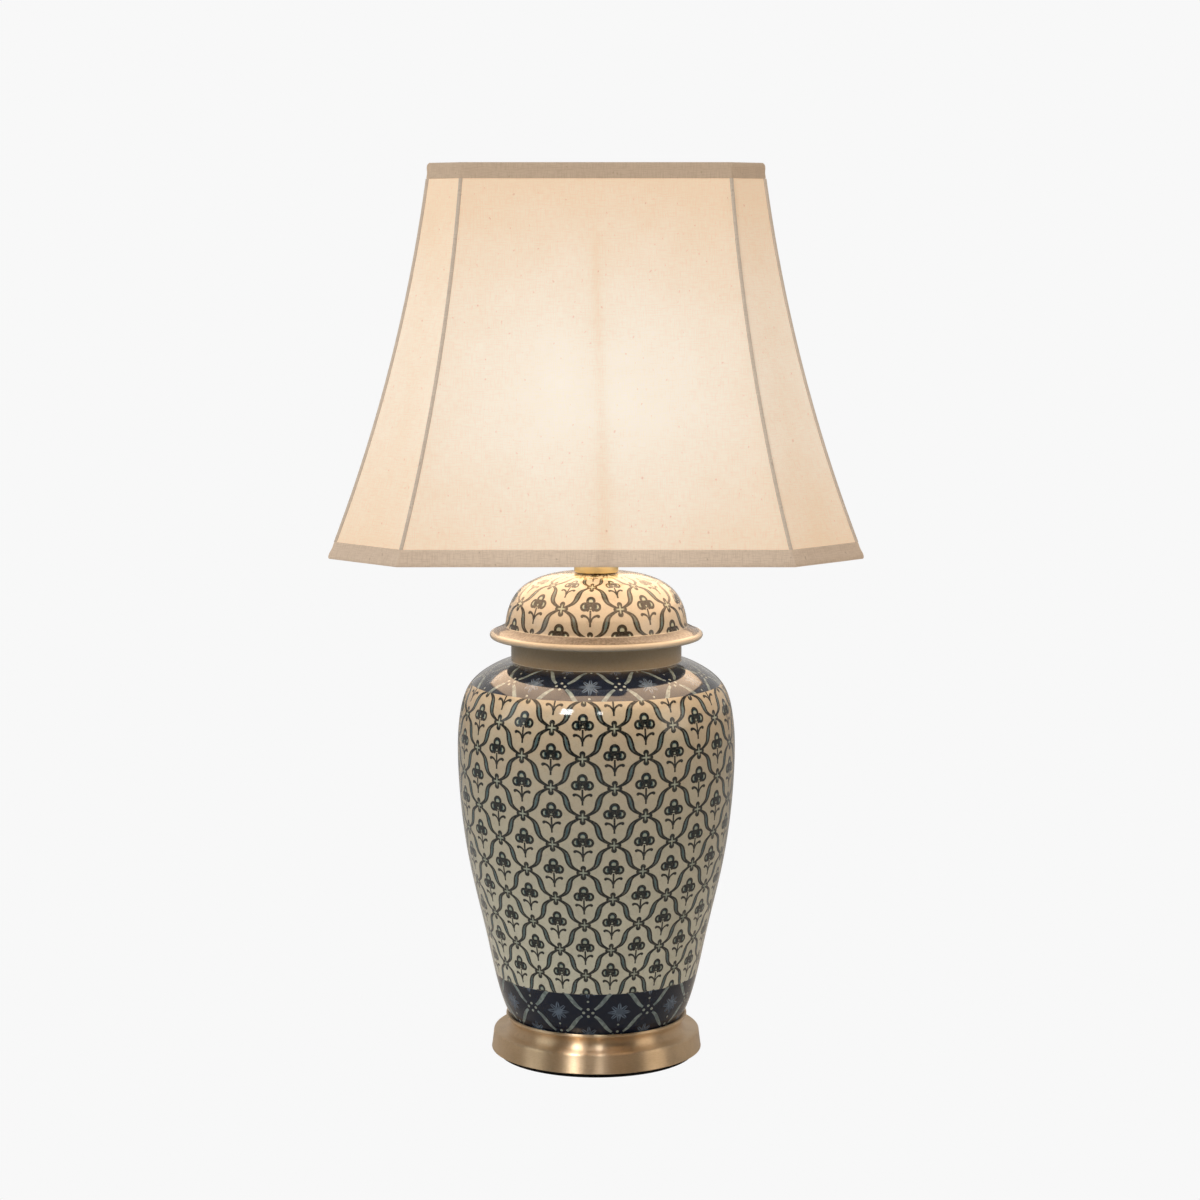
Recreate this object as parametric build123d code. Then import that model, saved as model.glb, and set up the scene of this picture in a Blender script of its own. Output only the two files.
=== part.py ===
"""Ginger jar table lamp with a cut-corner bell shade, in millimetres.

+Z is up, the lamp's axis is Z, the front faces -Y, and the origin is the middle of the
underside of the base pad. The harp stands in the YZ plane and the switch key points to +X.
"""

from build123d import *
import math
import os

# Base: pad, brass plinth, iron ballast
PAD_THICKNESS = 4.0
PAD_INSET = 5.6
PAD_HOLE_RADIUS = 20.0
PLINTH_FOOT_RADIUS = 86.6
PLINTH_WALL_LEAN = 1.8
PLINTH_WALL_HEIGHT = 14.0
PLINTH_EDGE_ROUND = 2.2
PLINTH_COVE_HEIGHT = 13.0
PLINTH_RIM_WIDTH = 2.0
PLINTH_COVE_UNDERCUT = 3.6
PLINTH_COVE_SWEEP = 4.8
PLINTH_RIM_LIP = 2.0
PLINTH_SHEET = 1.6
JAR_SEAT_DEPTH = 2.2
JAR_SEAT_CLEARANCE = 1.4
BALLAST_FLANGE_HEIGHT = 2.0
BALLAST_CLEARANCE = 0.5
BALLAST_SIDE_GAP = 7.4
NUT_RECESS_RADIUS = 16.0
NUT_RECESS_DEPTH = 6.0
WIRING_POCKET = (34.0, 46.0)
WIRING_POCKET_START = 12.0
WIRING_POCKET_FLOOR = 12.0
WIRING_CHANNEL_WIDTH = 12.0

# Threaded lamp pipe, its nut and washer
PIPE_RADIUS = 4.8
PIPE_BORE_RADIUS = 3.4
PIPE_LOWER_END = 2.5
PIPE_THREAD_IN_SOCKET = 6.0
PIPE_SLOT = (5.4, 14.0)
NUT_ACROSS_FLATS = 15.0
NUT_THICKNESS = 5.0
WASHER_RADIUS = 12.0
WASHER_THICKNESS = 1.5
PIPE_HOLE_CLEARANCE = 0.3

# Wiring kept inside the lamp
TERMINAL_BLOCK = (22.0, 14.0, 10.0)
TERMINAL_BLOCK_Y = 44.0
TERMINAL_BLOCK_ROUND = 1.5
TERMINAL_SCREW_RADIUS = 1.9
TERMINAL_SCREW_HEAD = 1.2
LEAD_RADIUS = 0.9
LEAD_SPACING = 2.6
LEAD_BEND_RADIUS = 8.0
LEAD_TOP_BEND = 3.6
LEAD_END_BEND = 2.2
LEAD_STUB = 5.0
TERMINAL_OFFSET = 8.0
BUSH_BORE_RADIUS = 3.6
BUSH_NECK_RADIUS = 5.2
BUSH_FLANGE_RADIUS = 6.6
BUSH_FLANGE_THICKNESS = 1.8
BUSH_FLANGE_ROUND = 0.7
BUSH_LENGTH = 13.0
BUSH_HEIGHT = 11.6
BUSH_FIT = 0.05

# Jar: outline from the foot up to the neck, as radius and height above the plinth seat
JAR_OUTLINE = [
    (71.2, 0.0),
    (80.4, 24.0),
    (90.6, 69.0),
    (103.4, 125.0),
    (111.8, 186.0),
    (113.3, 214.0),
    (111.2, 253.0),
    (103.0, 276.0),
    (86.0, 289.5),
    (70.4, 295.5),
]
JAR_FOOT_TANGENT = (0.55, 1.0)
JAR_SHOULDER_TANGENT = (-1.0, 0.2)
JAR_WALL = 5.0
JAR_FLOOR = 7.0
JAR_FLOOR_CORNER = 2.0
INNER_WALL_POINTS = 12
JAR_FOOT_RING_WIDTH = 10.0
JAR_FOOT_RING_HEIGHT = 4.0
JAR_NECK_RADIUS = 69.5
JAR_HEIGHT = 314.0
JAR_GASKET_THICKNESS = 1.0
JAR_GASKET_INSET = 0.5

# Lid: lip, flange and dome, heights above the jar's rim
LID_LIP_RADIUS = 86.8
LID_LIP_THICKNESS = 5.2
LID_FLANGE_HEIGHT = 10.0
LID_DOME_BASE_RADIUS = 74.6
LID_DOME = [
    (73.4, 16.0),
    (70.6, 26.5),
    (62.0, 39.6),
    (49.4, 47.4),
    (30.0, 52.2),
]
LID_CREST_RADIUS = 13.0
LID_HEIGHT = 53.0
LID_WALL = 4.6
LID_RING_HEIGHT = 8.0
LID_RING_WIDTH = 4.6
LID_RING_CLEARANCE = 0.8

# Brass cap on the lid, harp saddle
CAP_GASKET_RADIUS = 11.0
CAP_GASKET_THICKNESS = 0.8
BRASS_CAP_RADIUS = 18.0
BRASS_CAP_HEIGHT = 8.6
BRASS_CAP_BEVEL = 1.0
SADDLE_WIDTH = 13.0
SADDLE_THICKNESS = 1.5
SADDLE_TAB_WIDTH = 4.0
SADDLE_TAB_HEIGHT = 12.0

# Switched lampholder
HOLDER_CAP_RADIUS = 17.0
HOLDER_CAP_HUB_RADIUS = 8.0
HOLDER_CAP_HUB_HEIGHT = 4.0
HOLDER_CAP_SHOULDER = 15.0
HOLDER_CAP_HEIGHT = 21.0
HOLDER_SHEET = 0.8
HOLDER_SHELL_HEIGHT = 48.0
HOLDER_GAP = 0.1
SLEEVE_THICKNESS = 0.7
HOLDER_BLOCK_HEIGHT = 19.0
HOLDER_BLOCK_CLEARANCE = 0.2
SCREW_SHELL_WALL = 0.5
SCREW_SHELL_HEIGHT = 22.0
TERMINAL_LUG_RADIUS = 1.8
TERMINAL_LUG_HEIGHT = 2.0
LUG_CLEARANCE = 0.5
CONTACT_RADIUS = 4.0
CONTACT_HEIGHT = 2.0
CONTACT_SURROUND = 2.0
KEY_SHAFT_RADIUS = 1.6
KEY_RUNNING_GAP = 0.05
KEY_HOLE_RADIUS = 2.4
KEY_SHAFT_START = 5.0
KEY_REACH = 14.0
KEY_KNOB_LENGTH = 8.0
KEY_KNOB = (12.0, 4.0)

# Bulb, standard screw base and round envelope
BULB_BASE_RADIUS = 13.2
BULB_BASE_HEIGHT = 24.0
BULB_TIP_RADIUS = 5.0
BULB_TIP_POINT_RADIUS = 3.5
BULB_TIP_HEIGHT = 3.0
BULB_THREAD_GAP = 0.1
BULB_CONTACT_GAP = 0.3
BULB_RADIUS = 30.0
BULB_LENGTH = 110.0
BULB_NECK_RADIUS = 14.0
BULB_NECK_LENGTH = 10.0
BULB_WALL = 0.8
BULB_FLARE_ANGLE = 28.0

# Harp, ferrules, crown and finial
HARP_WIRE_RADIUS = 1.9
HARP_HEIGHT = 283.3
HARP_LEG_SPREAD = 27.2
HARP_LEG_HEIGHT = 44.0
HARP_BOW_HALF_WIDTH = 64.0
HARP_BOW_HEIGHT = 104.0
HARP_UPPER_HALF_WIDTH = 50.0
HARP_UPPER_DROP = 52.0
HARP_TOP_HALF_WIDTH = 22.0
HARP_BENDS = (60.0, 90.0, 120.0, 25.0)
FERRULE_BORE_RADIUS = 3.5
FERRULE_WALL = 0.9
FERRULE_LENGTH = 12.0
CROWN_RADIUS = 5.0
CROWN_BELOW_WIRE = 4.5
CROWN_ABOVE_WIRE = 4.0
CROWN_FLANGE_RADIUS = 9.0
CROWN_FLANGE_THICKNESS = 1.5
WIRE_FIT = 0.05
STUD_RADIUS = 3.1
STUD_LENGTH = 11.0
FINIAL_RADIUS = 6.5
FINIAL_FOOT_RADIUS = 5.2
FINIAL_HEIGHT = 14.0
FINIAL_COLLAR_HEIGHT = 2.8
FINIAL_BELLY_HEIGHT = 7.7
FINIAL_THREAD_GAP = 0.05
FINIAL_SEAT_GAP = 0.1
FINIAL_BORE_DEPTH = 11.5

# Shade: square plan with cut corners, bell-shaped sides
SHADE_HEIGHT = 299.0
SHADE_DROP_OF_SPIDER = 29.0
SHADE_TOP_HALF = 127.0
SHADE_BOTTOM_HALF = 203.2
SHADE_SIDE_SAG = 9.6
SHADE_TOP_CUT = 25.8
SHADE_BOTTOM_CUT = 55.0
SHADE_CORNER_SAG = 11.5
COVER_THICKNESS = 1.0
FRAME_WIRE_RADIUS = 1.5
RIB_WIRE_RADIUS = 1.25
ARM_WIRE_RADIUS = 1.35
FRAME_GAP = 0.4
LINING_THICKNESS = 0.8
LINING_SLIT_WIDTH = 4.0
LINING_SLIT_DEPTH = 9.0
TRIM_TOP_WIDTH = 12.0
TRIM_BOTTOM_WIDTH = 12.5
TRIM_THICKNESS = 1.3
TRIM_OVERHANG = 1.0
PIPING_RADIUS = 1.5
SEAM_WIRE_SIDES = 8
RING_CORNER_RADIUS = 2.5
SEAM_SPANS = 4
SPIDER_HUB_RADIUS = 11.0
SPIDER_HUB_THICKNESS = 2.0
SPIDER_HUB_CLEARANCE = 0.1
SPIDER_FLAT_RUN = 45.0
SPIDER_BEND = 25.0

# Radii that follow from the plinth's and the jar's feet
pad_radius = PLINTH_FOOT_RADIUS - PAD_INSET
plinth_wall_radius = PLINTH_FOOT_RADIUS - PLINTH_WALL_LEAN
jar_foot_radius = JAR_OUTLINE[0][0]
seat_radius = jar_foot_radius + JAR_SEAT_CLEARANCE
rim_radius = seat_radius + PLINTH_RIM_WIDTH
cove_radius = rim_radius - PLINTH_COVE_UNDERCUT
ballast_radius = cove_radius - PLINTH_SHEET - BALLAST_SIDE_GAP

# Heights of the stack, from the pad upwards
plinth_seat_z = PAD_THICKNESS + PLINTH_WALL_HEIGHT + PLINTH_COVE_HEIGHT + PLINTH_RIM_LIP - JAR_SEAT_DEPTH
plinth_rim_z = plinth_seat_z + JAR_SEAT_DEPTH
jar_foot_z = plinth_seat_z + JAR_GASKET_THICKNESS
jar_rim_z = jar_foot_z + JAR_HEIGHT
lid_top_z = jar_rim_z + LID_HEIGHT
cap_foot_z = lid_top_z + CAP_GASKET_THICKNESS
saddle_z = cap_foot_z + BRASS_CAP_HEIGHT
holder_z = saddle_z + SADDLE_THICKNESS
pipe_top_z = holder_z + PIPE_THREAD_IN_SOCKET
harp_foot_z = holder_z + WIRE_FIT
harp_top_z = saddle_z + HARP_HEIGHT
crown_seat_z = harp_top_z + CROWN_ABOVE_WIRE
hub_z = crown_seat_z + CROWN_FLANGE_THICKNESS
shade_top_z = hub_z + SHADE_DROP_OF_SPIDER
shade_bottom_z = shade_top_z - SHADE_HEIGHT

UP = (Align.CENTER, Align.CENTER, Align.MIN)


def disc(radius, bottom, top, hole=0.0):
    """A round plate or tube between two heights, with an optional round hole."""
    plate = Pos(0, 0, bottom) * Cylinder(radius, top - bottom, align=UP)
    if hole:
        plate -= Pos(0, 0, bottom) * Cylinder(hole, top - bottom, align=UP)
    return plate


def block(size, centre_x, centre_y, bottom):
    """An upright box that stands on a height."""
    return Pos(centre_x, centre_y, bottom) * Box(*size, align=UP)


def turned(*outline):
    """Turn a closed outline of (radius, height) lines about the lamp's axis."""
    edges = Curve() + list(outline)
    return revolve(Plane.XZ * make_face(edges), axis=Axis.Z)


def rod(path, radius, sides=0):
    """A wire along a path, round or with a number of flat sides."""
    section = RegularPolygon(radius, sides) if sides else Circle(radius)
    return sweep(Plane(path @ 0, z_dir=path % 0) * section, path=path)


def raised(points, height):
    """Outline points with their heights counted from a given height."""
    return [(radius, height + level) for radius, level in points]


def inner_points(edge, wall, count):
    """Points a wall's thickness inside an outline that runs up the outer side."""
    points = []
    for step in range(count + 1):
        share = step / count
        tangent = edge % share
        points.append(edge @ share + Vector(-tangent.Y, tangent.X) * wall)
    return points


def base_pad():
    return disc(pad_radius, 0, PAD_THICKNESS, PAD_HOLE_RADIUS)


def plinth_shell():
    """Spun brass: leaning wall, rounded edge, ledge, cove, rim and the jar's recessed seat."""
    foot = PAD_THICKNESS
    ledge = foot + PLINTH_WALL_HEIGHT + PLINTH_EDGE_ROUND
    sheet = PLINTH_SHEET
    rim = plinth_rim_z
    edge_dip = PLINTH_EDGE_ROUND * (1 - math.sqrt(0.5))
    edge_start = (plinth_wall_radius, ledge - PLINTH_EDGE_ROUND)
    edge_mid = (plinth_wall_radius - edge_dip, ledge - edge_dip)
    edge_end = (plinth_wall_radius - PLINTH_EDGE_ROUND, ledge)
    cove_end = (cove_radius + PLINTH_COVE_SWEEP, ledge)
    lip_foot = (rim_radius, rim - PLINTH_RIM_LIP)
    inner_ledge = ledge - sheet
    inner_wall = plinth_wall_radius - sheet
    inner_seat = plinth_seat_z - sheet
    inner_cove = cove_radius - sheet
    shell = turned(
        Polyline((0, plinth_seat_z), (seat_radius, plinth_seat_z), (seat_radius, rim), (rim_radius, rim)),
        Line((rim_radius, rim), lip_foot),
        Spline(lip_foot, (cove_radius, (rim + ledge) / 2), cove_end, tangents=[(-1, -0.7), (1, -0.15)]),
        Line(cove_end, edge_end),
        ThreePointArc(edge_end, edge_mid, edge_start),
        Polyline(
            edge_start,
            (PLINTH_FOOT_RADIUS, foot),
            (PLINTH_FOOT_RADIUS - sheet, foot),
            (inner_wall, inner_ledge - PLINTH_EDGE_ROUND / 2),
            (inner_wall - PLINTH_EDGE_ROUND / 2, inner_ledge),
            (inner_cove, inner_ledge),
            (inner_cove, inner_seat),
            (0, inner_seat),
            (0, plinth_seat_z),
        ),
    )
    shell -= disc(PIPE_RADIUS + PIPE_HOLE_CLEARANCE, inner_seat, plinth_seat_z)
    return shell - bush_hole()


def bush_hole():
    """The hole for the cord's outlet bush, drilled inwards through the back of the wall."""
    drill = Cylinder(BUSH_NECK_RADIUS + BUSH_FIT, PLINTH_FOOT_RADIUS / 2, align=UP)
    return Pos(0, PLINTH_FOOT_RADIUS + BUSH_FLANGE_THICKNESS, BUSH_HEIGHT) * Rot(90, 0, 0) * drill


def cord_bush():
    """Round outlet bush at the back of the plinth, with its flange outside the wall."""
    neck = Cylinder(BUSH_NECK_RADIUS, BUSH_LENGTH, align=UP)
    flange = Cylinder(BUSH_FLANGE_RADIUS, BUSH_FLANGE_THICKNESS, align=UP)
    flange = fillet(flange.edges().group_by(Axis.Z)[0], BUSH_FLANGE_ROUND)
    bush = neck + flange - Cylinder(BUSH_BORE_RADIUS, BUSH_LENGTH, align=UP)
    outside = PLINTH_FOOT_RADIUS - BUSH_FIT + BUSH_FLANGE_THICKNESS
    return Pos(0, outside, BUSH_HEIGHT) * Rot(90, 0, 0) * bush


def ballast():
    """Iron weight: a flange that carries the plinth's foot and a body under the jar's seat."""
    top = plinth_seat_z - PLINTH_SHEET
    flange_radius = PLINTH_FOOT_RADIUS - PLINTH_SHEET - BALLAST_CLEARANCE
    flange = disc(flange_radius, PAD_THICKNESS, PAD_THICKNESS + BALLAST_FLANGE_HEIGHT)
    body = disc(ballast_radius, PAD_THICKNESS, top)
    weight = flange + body - disc(PIPE_RADIUS + PIPE_HOLE_CLEARANCE, 0, top)
    weight -= disc(NUT_RECESS_RADIUS, PAD_THICKNESS, PAD_THICKNESS + NUT_RECESS_DEPTH)
    pocket_height = top - WIRING_POCKET_FLOOR
    pocket_y = WIRING_POCKET_START + WIRING_POCKET[1] / 2
    weight -= block((*WIRING_POCKET, pocket_height), 0, pocket_y, WIRING_POCKET_FLOOR)
    channel = (WIRING_CHANNEL_WIDTH, ballast_radius, pocket_height)
    return weight - block(channel, 0, ballast_radius / 2, WIRING_POCKET_FLOOR)


def terminal_block():
    body = block(TERMINAL_BLOCK, 0, TERMINAL_BLOCK_Y, WIRING_POCKET_FLOOR)
    return fillet(body.edges().filter_by(Axis.Z), TERMINAL_BLOCK_ROUND)


def terminal_screws():
    top = WIRING_POCKET_FLOOR + TERMINAL_BLOCK[2]
    head = Cylinder(TERMINAL_SCREW_RADIUS, TERMINAL_SCREW_HEAD, align=UP)
    spots = GridLocations(TERMINAL_BLOCK[0] / 2, TERMINAL_BLOCK[1] / 2, 2, 2)
    return [Pos(0, TERMINAL_BLOCK_Y, top) * spot * head for spot in spots]


def lamp_pipe():
    pipe = disc(PIPE_RADIUS, PIPE_LOWER_END, pipe_top_z, PIPE_BORE_RADIUS)
    width, height = PIPE_SLOT
    slot = block((width, PIPE_RADIUS * 2, height), 0, PIPE_RADIUS, WIRING_POCKET_FLOOR)
    return pipe - slot


def lower_washer():
    top = PAD_THICKNESS + NUT_RECESS_DEPTH
    return disc(WASHER_RADIUS, top - WASHER_THICKNESS, top, PIPE_RADIUS + WIRE_FIT)


def lower_nut():
    top = PAD_THICKNESS + NUT_RECESS_DEPTH - WASHER_THICKNESS
    outline = RegularPolygon(NUT_ACROSS_FLATS / 2, 6, major_radius=False)
    nut = Pos(0, 0, top - NUT_THICKNESS) * extrude(outline, NUT_THICKNESS)
    return nut - disc(PIPE_RADIUS + WIRE_FIT, top - NUT_THICKNESS, top)


def jar_gasket():
    outer = jar_foot_radius - JAR_GASKET_INSET
    return disc(outer, plinth_seat_z, jar_foot_z, outer - JAR_FOOT_RING_WIDTH)


def jar_body():
    """Thrown jar with a foot ring, a floor, a swelling wall and an upright neck."""
    points = raised(JAR_OUTLINE, jar_foot_z)
    outer = Spline(*points, tangents=[JAR_FOOT_TANGENT, JAR_SHOULDER_TANGENT])
    neck_base = points[-1]
    floor_z = jar_foot_z + JAR_FOOT_RING_HEIGHT + JAR_FLOOR
    neck_inner = JAR_NECK_RADIUS - JAR_WALL
    inside = inner_points(outer, JAR_WALL, INNER_WALL_POINTS)
    inside = [p for p in inside if p.Y > floor_z + JAR_WALL and p.X > neck_inner + JAR_WALL / 2]
    inner = Spline(
        (inside[0].X - JAR_FLOOR_CORNER, floor_z),
        *inside,
        (neck_inner, neck_base[1] - JAR_WALL),
    )
    ring_inner = jar_foot_radius - JAR_FOOT_RING_WIDTH
    jar = turned(
        outer,
        Polyline(neck_base, (JAR_NECK_RADIUS, neck_base[1]), (JAR_NECK_RADIUS, jar_rim_z)),
        Polyline((JAR_NECK_RADIUS, jar_rim_z), (neck_inner, jar_rim_z), inner @ 1),
        inner,
        Polyline(inner @ 0, (0, floor_z), (0, floor_z - JAR_FLOOR), (ring_inner, floor_z - JAR_FLOOR)),
        Polyline((ring_inner, floor_z - JAR_FLOOR), (ring_inner, jar_foot_z), points[0]),
    )
    return jar - disc(PIPE_RADIUS + PIPE_HOLE_CLEARANCE, jar_foot_z, floor_z)


def jar_lid():
    """Domed lid: a locating ring inside the neck, a rounded lip, a flange and the dome."""
    rim = jar_rim_z
    lip_round = LID_LIP_THICKNESS / 2
    dome_foot = (LID_DOME_BASE_RADIUS, rim + LID_FLANGE_HEIGHT)
    lip_top = (LID_LIP_RADIUS - lip_round, rim + LID_LIP_THICKNESS)
    lip_bottom = (LID_LIP_RADIUS - lip_round, rim)
    dome = Spline(
        dome_foot,
        *raised(LID_DOME, rim),
        (LID_CREST_RADIUS, lid_top_z),
        tangents=[(-0.35, 1.0), (-1.0, 0.0)],
    )
    ring_outer = JAR_NECK_RADIUS - JAR_WALL - LID_RING_CLEARANCE
    ring_inner = ring_outer - LID_RING_WIDTH
    inside = inner_points(dome, LID_WALL, INNER_WALL_POINTS)
    inside = [p for p in inside if p.Y > rim + LID_FLANGE_HEIGHT]
    inner = Spline((ring_inner + LID_RING_CLEARANCE, rim + LID_WALL), *inside)
    lid = turned(
        Polyline(lip_bottom, (ring_outer, rim), (ring_outer, rim - LID_RING_HEIGHT)),
        Polyline((ring_outer, rim - LID_RING_HEIGHT), (ring_inner, rim - LID_RING_HEIGHT), inner @ 0),
        inner,
        Polyline(inner @ 1, (0, lid_top_z - LID_WALL), (0, lid_top_z), dome @ 1),
        dome,
        Polyline(dome_foot, lip_top),
        ThreePointArc(lip_top, (LID_LIP_RADIUS, rim + lip_round), lip_bottom),
    )
    return lid - disc(PIPE_RADIUS + PIPE_HOLE_CLEARANCE, rim, lid_top_z)


def cap_gasket():
    return disc(CAP_GASKET_RADIUS, lid_top_z, cap_foot_z, PIPE_RADIUS + PIPE_HOLE_CLEARANCE)


def brass_cap():
    cap = disc(BRASS_CAP_RADIUS, cap_foot_z, saddle_z, PIPE_RADIUS + PIPE_HOLE_CLEARANCE)
    rims = cap.edges().filter_by(GeomType.CIRCLE).sort_by(SortBy.RADIUS)[-2:]
    return fillet(rims, BRASS_CAP_BEVEL)


def saddle_tab_y():
    """Inner face of the saddle's upright tab, just outside the harp's leg."""
    return HARP_LEG_SPREAD + HARP_WIRE_RADIUS + WIRE_FIT


def harp_saddle():
    """Flat strip under the lampholder, with an upright tab behind each harp leg."""
    reach = saddle_tab_y() + SADDLE_THICKNESS
    strip = block((SADDLE_WIDTH, 2 * reach, SADDLE_THICKNESS), 0, 0, saddle_z)
    tab_size = (SADDLE_TAB_WIDTH, SADDLE_THICKNESS, SADDLE_THICKNESS + SADDLE_TAB_HEIGHT)
    for side in (-1, 1):
        strip += block(tab_size, 0, side * (reach - SADDLE_THICKNESS / 2), saddle_z)
    return strip - disc(PIPE_RADIUS + WIRE_FIT, saddle_z, holder_z)


def holder_cap():
    """Spun cup that screws on the pipe and holds the shell's lower end."""
    sheet = HOLDER_SHEET
    shoulder = holder_z + HOLDER_CAP_SHOULDER
    top = holder_z + HOLDER_CAP_HEIGHT
    hub_top = holder_z + HOLDER_CAP_HUB_HEIGHT
    cup = turned(
        Polyline(
            (0, holder_z),
            (HOLDER_CAP_HUB_RADIUS, holder_z),
            (HOLDER_CAP_HUB_RADIUS, hub_top),
            (HOLDER_CAP_RADIUS, shoulder - 2 * sheet),
            (HOLDER_CAP_RADIUS, top),
            (HOLDER_CAP_RADIUS - sheet, top),
            (HOLDER_CAP_RADIUS - sheet, shoulder),
            (HOLDER_CAP_RADIUS - 3 * sheet, shoulder),
            (HOLDER_CAP_HUB_RADIUS - sheet, hub_top + 2 * sheet),
            (0, hub_top + 2 * sheet),
            (0, holder_z),
        )
    )
    return cup - disc(PIPE_RADIUS + WIRE_FIT, holder_z, hub_top + 2 * sheet)


shell_foot_z = holder_z + HOLDER_CAP_SHOULDER
shell_radius = HOLDER_CAP_RADIUS - HOLDER_SHEET - HOLDER_GAP
sleeve_radius = shell_radius - HOLDER_SHEET - HOLDER_GAP
sleeve_foot_z = shell_foot_z + HOLDER_SHEET
block_radius = sleeve_radius - SLEEVE_THICKNESS - HOLDER_BLOCK_CLEARANCE
block_foot_z = sleeve_foot_z + SLEEVE_THICKNESS
holder_mouth = TERMINAL_OFFSET + TERMINAL_LUG_RADIUS + LUG_CLEARANCE
block_top_z = block_foot_z + HOLDER_BLOCK_HEIGHT
key_z = block_foot_z + HOLDER_BLOCK_HEIGHT / 2
screw_bore_radius = BULB_BASE_RADIUS + BULB_THREAD_GAP
bulb_tip_z = block_top_z + CONTACT_HEIGHT + BULB_CONTACT_GAP
bulb_base_z = bulb_tip_z + BULB_TIP_HEIGHT


def sleeve_cup(radius, wall, foot, top, mouth):
    """A tube with an inward-turned foot that leaves a round mouth."""
    return disc(radius, foot, top, radius - wall) + disc(radius, foot, foot + wall, mouth)


def key_drill(radius):
    """The round hole along X that the switch key's shaft passes through."""
    length = HOLDER_CAP_RADIUS + KEY_REACH
    return Pos(KEY_SHAFT_START, 0, key_z) * Rot(0, 90, 0) * Cylinder(radius, length, align=UP)


def holder_shell():
    top = shell_foot_z + HOLDER_SHELL_HEIGHT
    shell = sleeve_cup(shell_radius, HOLDER_SHEET, shell_foot_z, top, holder_mouth)
    return shell - key_drill(KEY_HOLE_RADIUS)


def holder_sleeve():
    top = shell_foot_z + HOLDER_SHELL_HEIGHT - 2 * HOLDER_SHEET
    sleeve = sleeve_cup(sleeve_radius, SLEEVE_THICKNESS, sleeve_foot_z, top, holder_mouth)
    return sleeve - key_drill(KEY_HOLE_RADIUS)


def holder_block():
    body = disc(block_radius, block_foot_z, block_top_z)
    return body - key_drill(KEY_SHAFT_RADIUS + KEY_RUNNING_GAP)


def terminal_lugs():
    lug = Cylinder(TERMINAL_LUG_RADIUS, TERMINAL_LUG_HEIGHT, align=UP)
    foot = block_foot_z - TERMINAL_LUG_HEIGHT
    return [Pos(side * TERMINAL_OFFSET, 0, foot) * lug for side in (-1, 1)]


def screw_shell():
    outer = screw_bore_radius + SCREW_SHELL_WALL
    top = block_top_z + SCREW_SHELL_HEIGHT
    return sleeve_cup(outer, SCREW_SHELL_WALL, block_top_z, top, CONTACT_RADIUS + CONTACT_SURROUND)


def centre_contact():
    return disc(CONTACT_RADIUS, block_top_z, block_top_z + CONTACT_HEIGHT)


def switch_key():
    """Shaft with a flat oval paddle, turning about the X axis."""
    knob_x = HOLDER_CAP_RADIUS + KEY_REACH - KEY_KNOB_LENGTH
    shaft = Cylinder(KEY_SHAFT_RADIUS, knob_x - KEY_SHAFT_START, align=UP)
    shaft = Pos(KEY_SHAFT_START, 0, key_z) * Rot(0, 90, 0) * shaft
    paddle = extrude(SlotOverall(KEY_KNOB[0], KEY_KNOB[1]), KEY_KNOB_LENGTH)
    return shaft + Pos(knob_x, 0, key_z) * Rot(0, 90, 0) * paddle


def bulb_base():
    top = bulb_base_z + BULB_BASE_HEIGHT
    base = disc(BULB_BASE_RADIUS, bulb_base_z, top, BULB_BASE_RADIUS - HOLDER_SHEET)
    return base + disc(BULB_BASE_RADIUS, bulb_base_z, bulb_base_z + HOLDER_SHEET)


def bulb_tip():
    cone = Cone(BULB_TIP_POINT_RADIUS, BULB_TIP_RADIUS, BULB_TIP_HEIGHT, align=UP)
    return Pos(0, 0, bulb_tip_z) * cone


def bulb_envelope(inset):
    """The bulb's throat point and the outline above it, a given distance inside its glass."""
    centre = bulb_tip_z + BULB_LENGTH - BULB_RADIUS
    radius = BULB_RADIUS - inset
    throat = (BULB_NECK_RADIUS - inset, bulb_base_z + BULB_BASE_HEIGHT + BULB_NECK_LENGTH / 2)
    angle = math.radians(BULB_FLARE_ANGLE)
    flare = Spline(
        throat,
        arc_point(centre, radius, -BULB_FLARE_ANGLE),
        tangents=[(0.15, 1.0), (math.sin(angle), math.cos(angle))],
    )
    side = (radius, centre)
    cheek = ThreePointArc(flare @ 1, arc_point(centre, radius, -BULB_FLARE_ANGLE / 2), side)
    top = ThreePointArc(side, arc_point(centre, radius, 45), (0, centre + radius))
    return throat, [flare, cheek, top]


def bulb_glass():
    """Frosted envelope: a neck in the screw base that swells into a sphere."""
    neck = BULB_BASE_RADIUS - HOLDER_SHEET - BULB_THREAD_GAP
    base_top = bulb_base_z + BULB_BASE_HEIGHT
    foot = base_top - BULB_NECK_LENGTH / 2
    crown = bulb_tip_z + BULB_LENGTH
    throat, outer = bulb_envelope(0)
    inner_throat, inner = bulb_envelope(BULB_WALL)
    inner_neck = neck - BULB_WALL
    return turned(
        Polyline((neck, foot), (neck, base_top), throat),
        *outer,
        Line((0, crown), (0, crown - BULB_WALL)),
        *inner,
        Polyline(inner_throat, (inner_neck, base_top), (inner_neck, foot), (neck, foot)),
    )


def arc_point(centre_z, radius, degrees):
    """A point on a circle about the axis of a turned outline."""
    angle = math.radians(degrees)
    return (radius * math.cos(angle), centre_z + radius * math.sin(angle))


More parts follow.
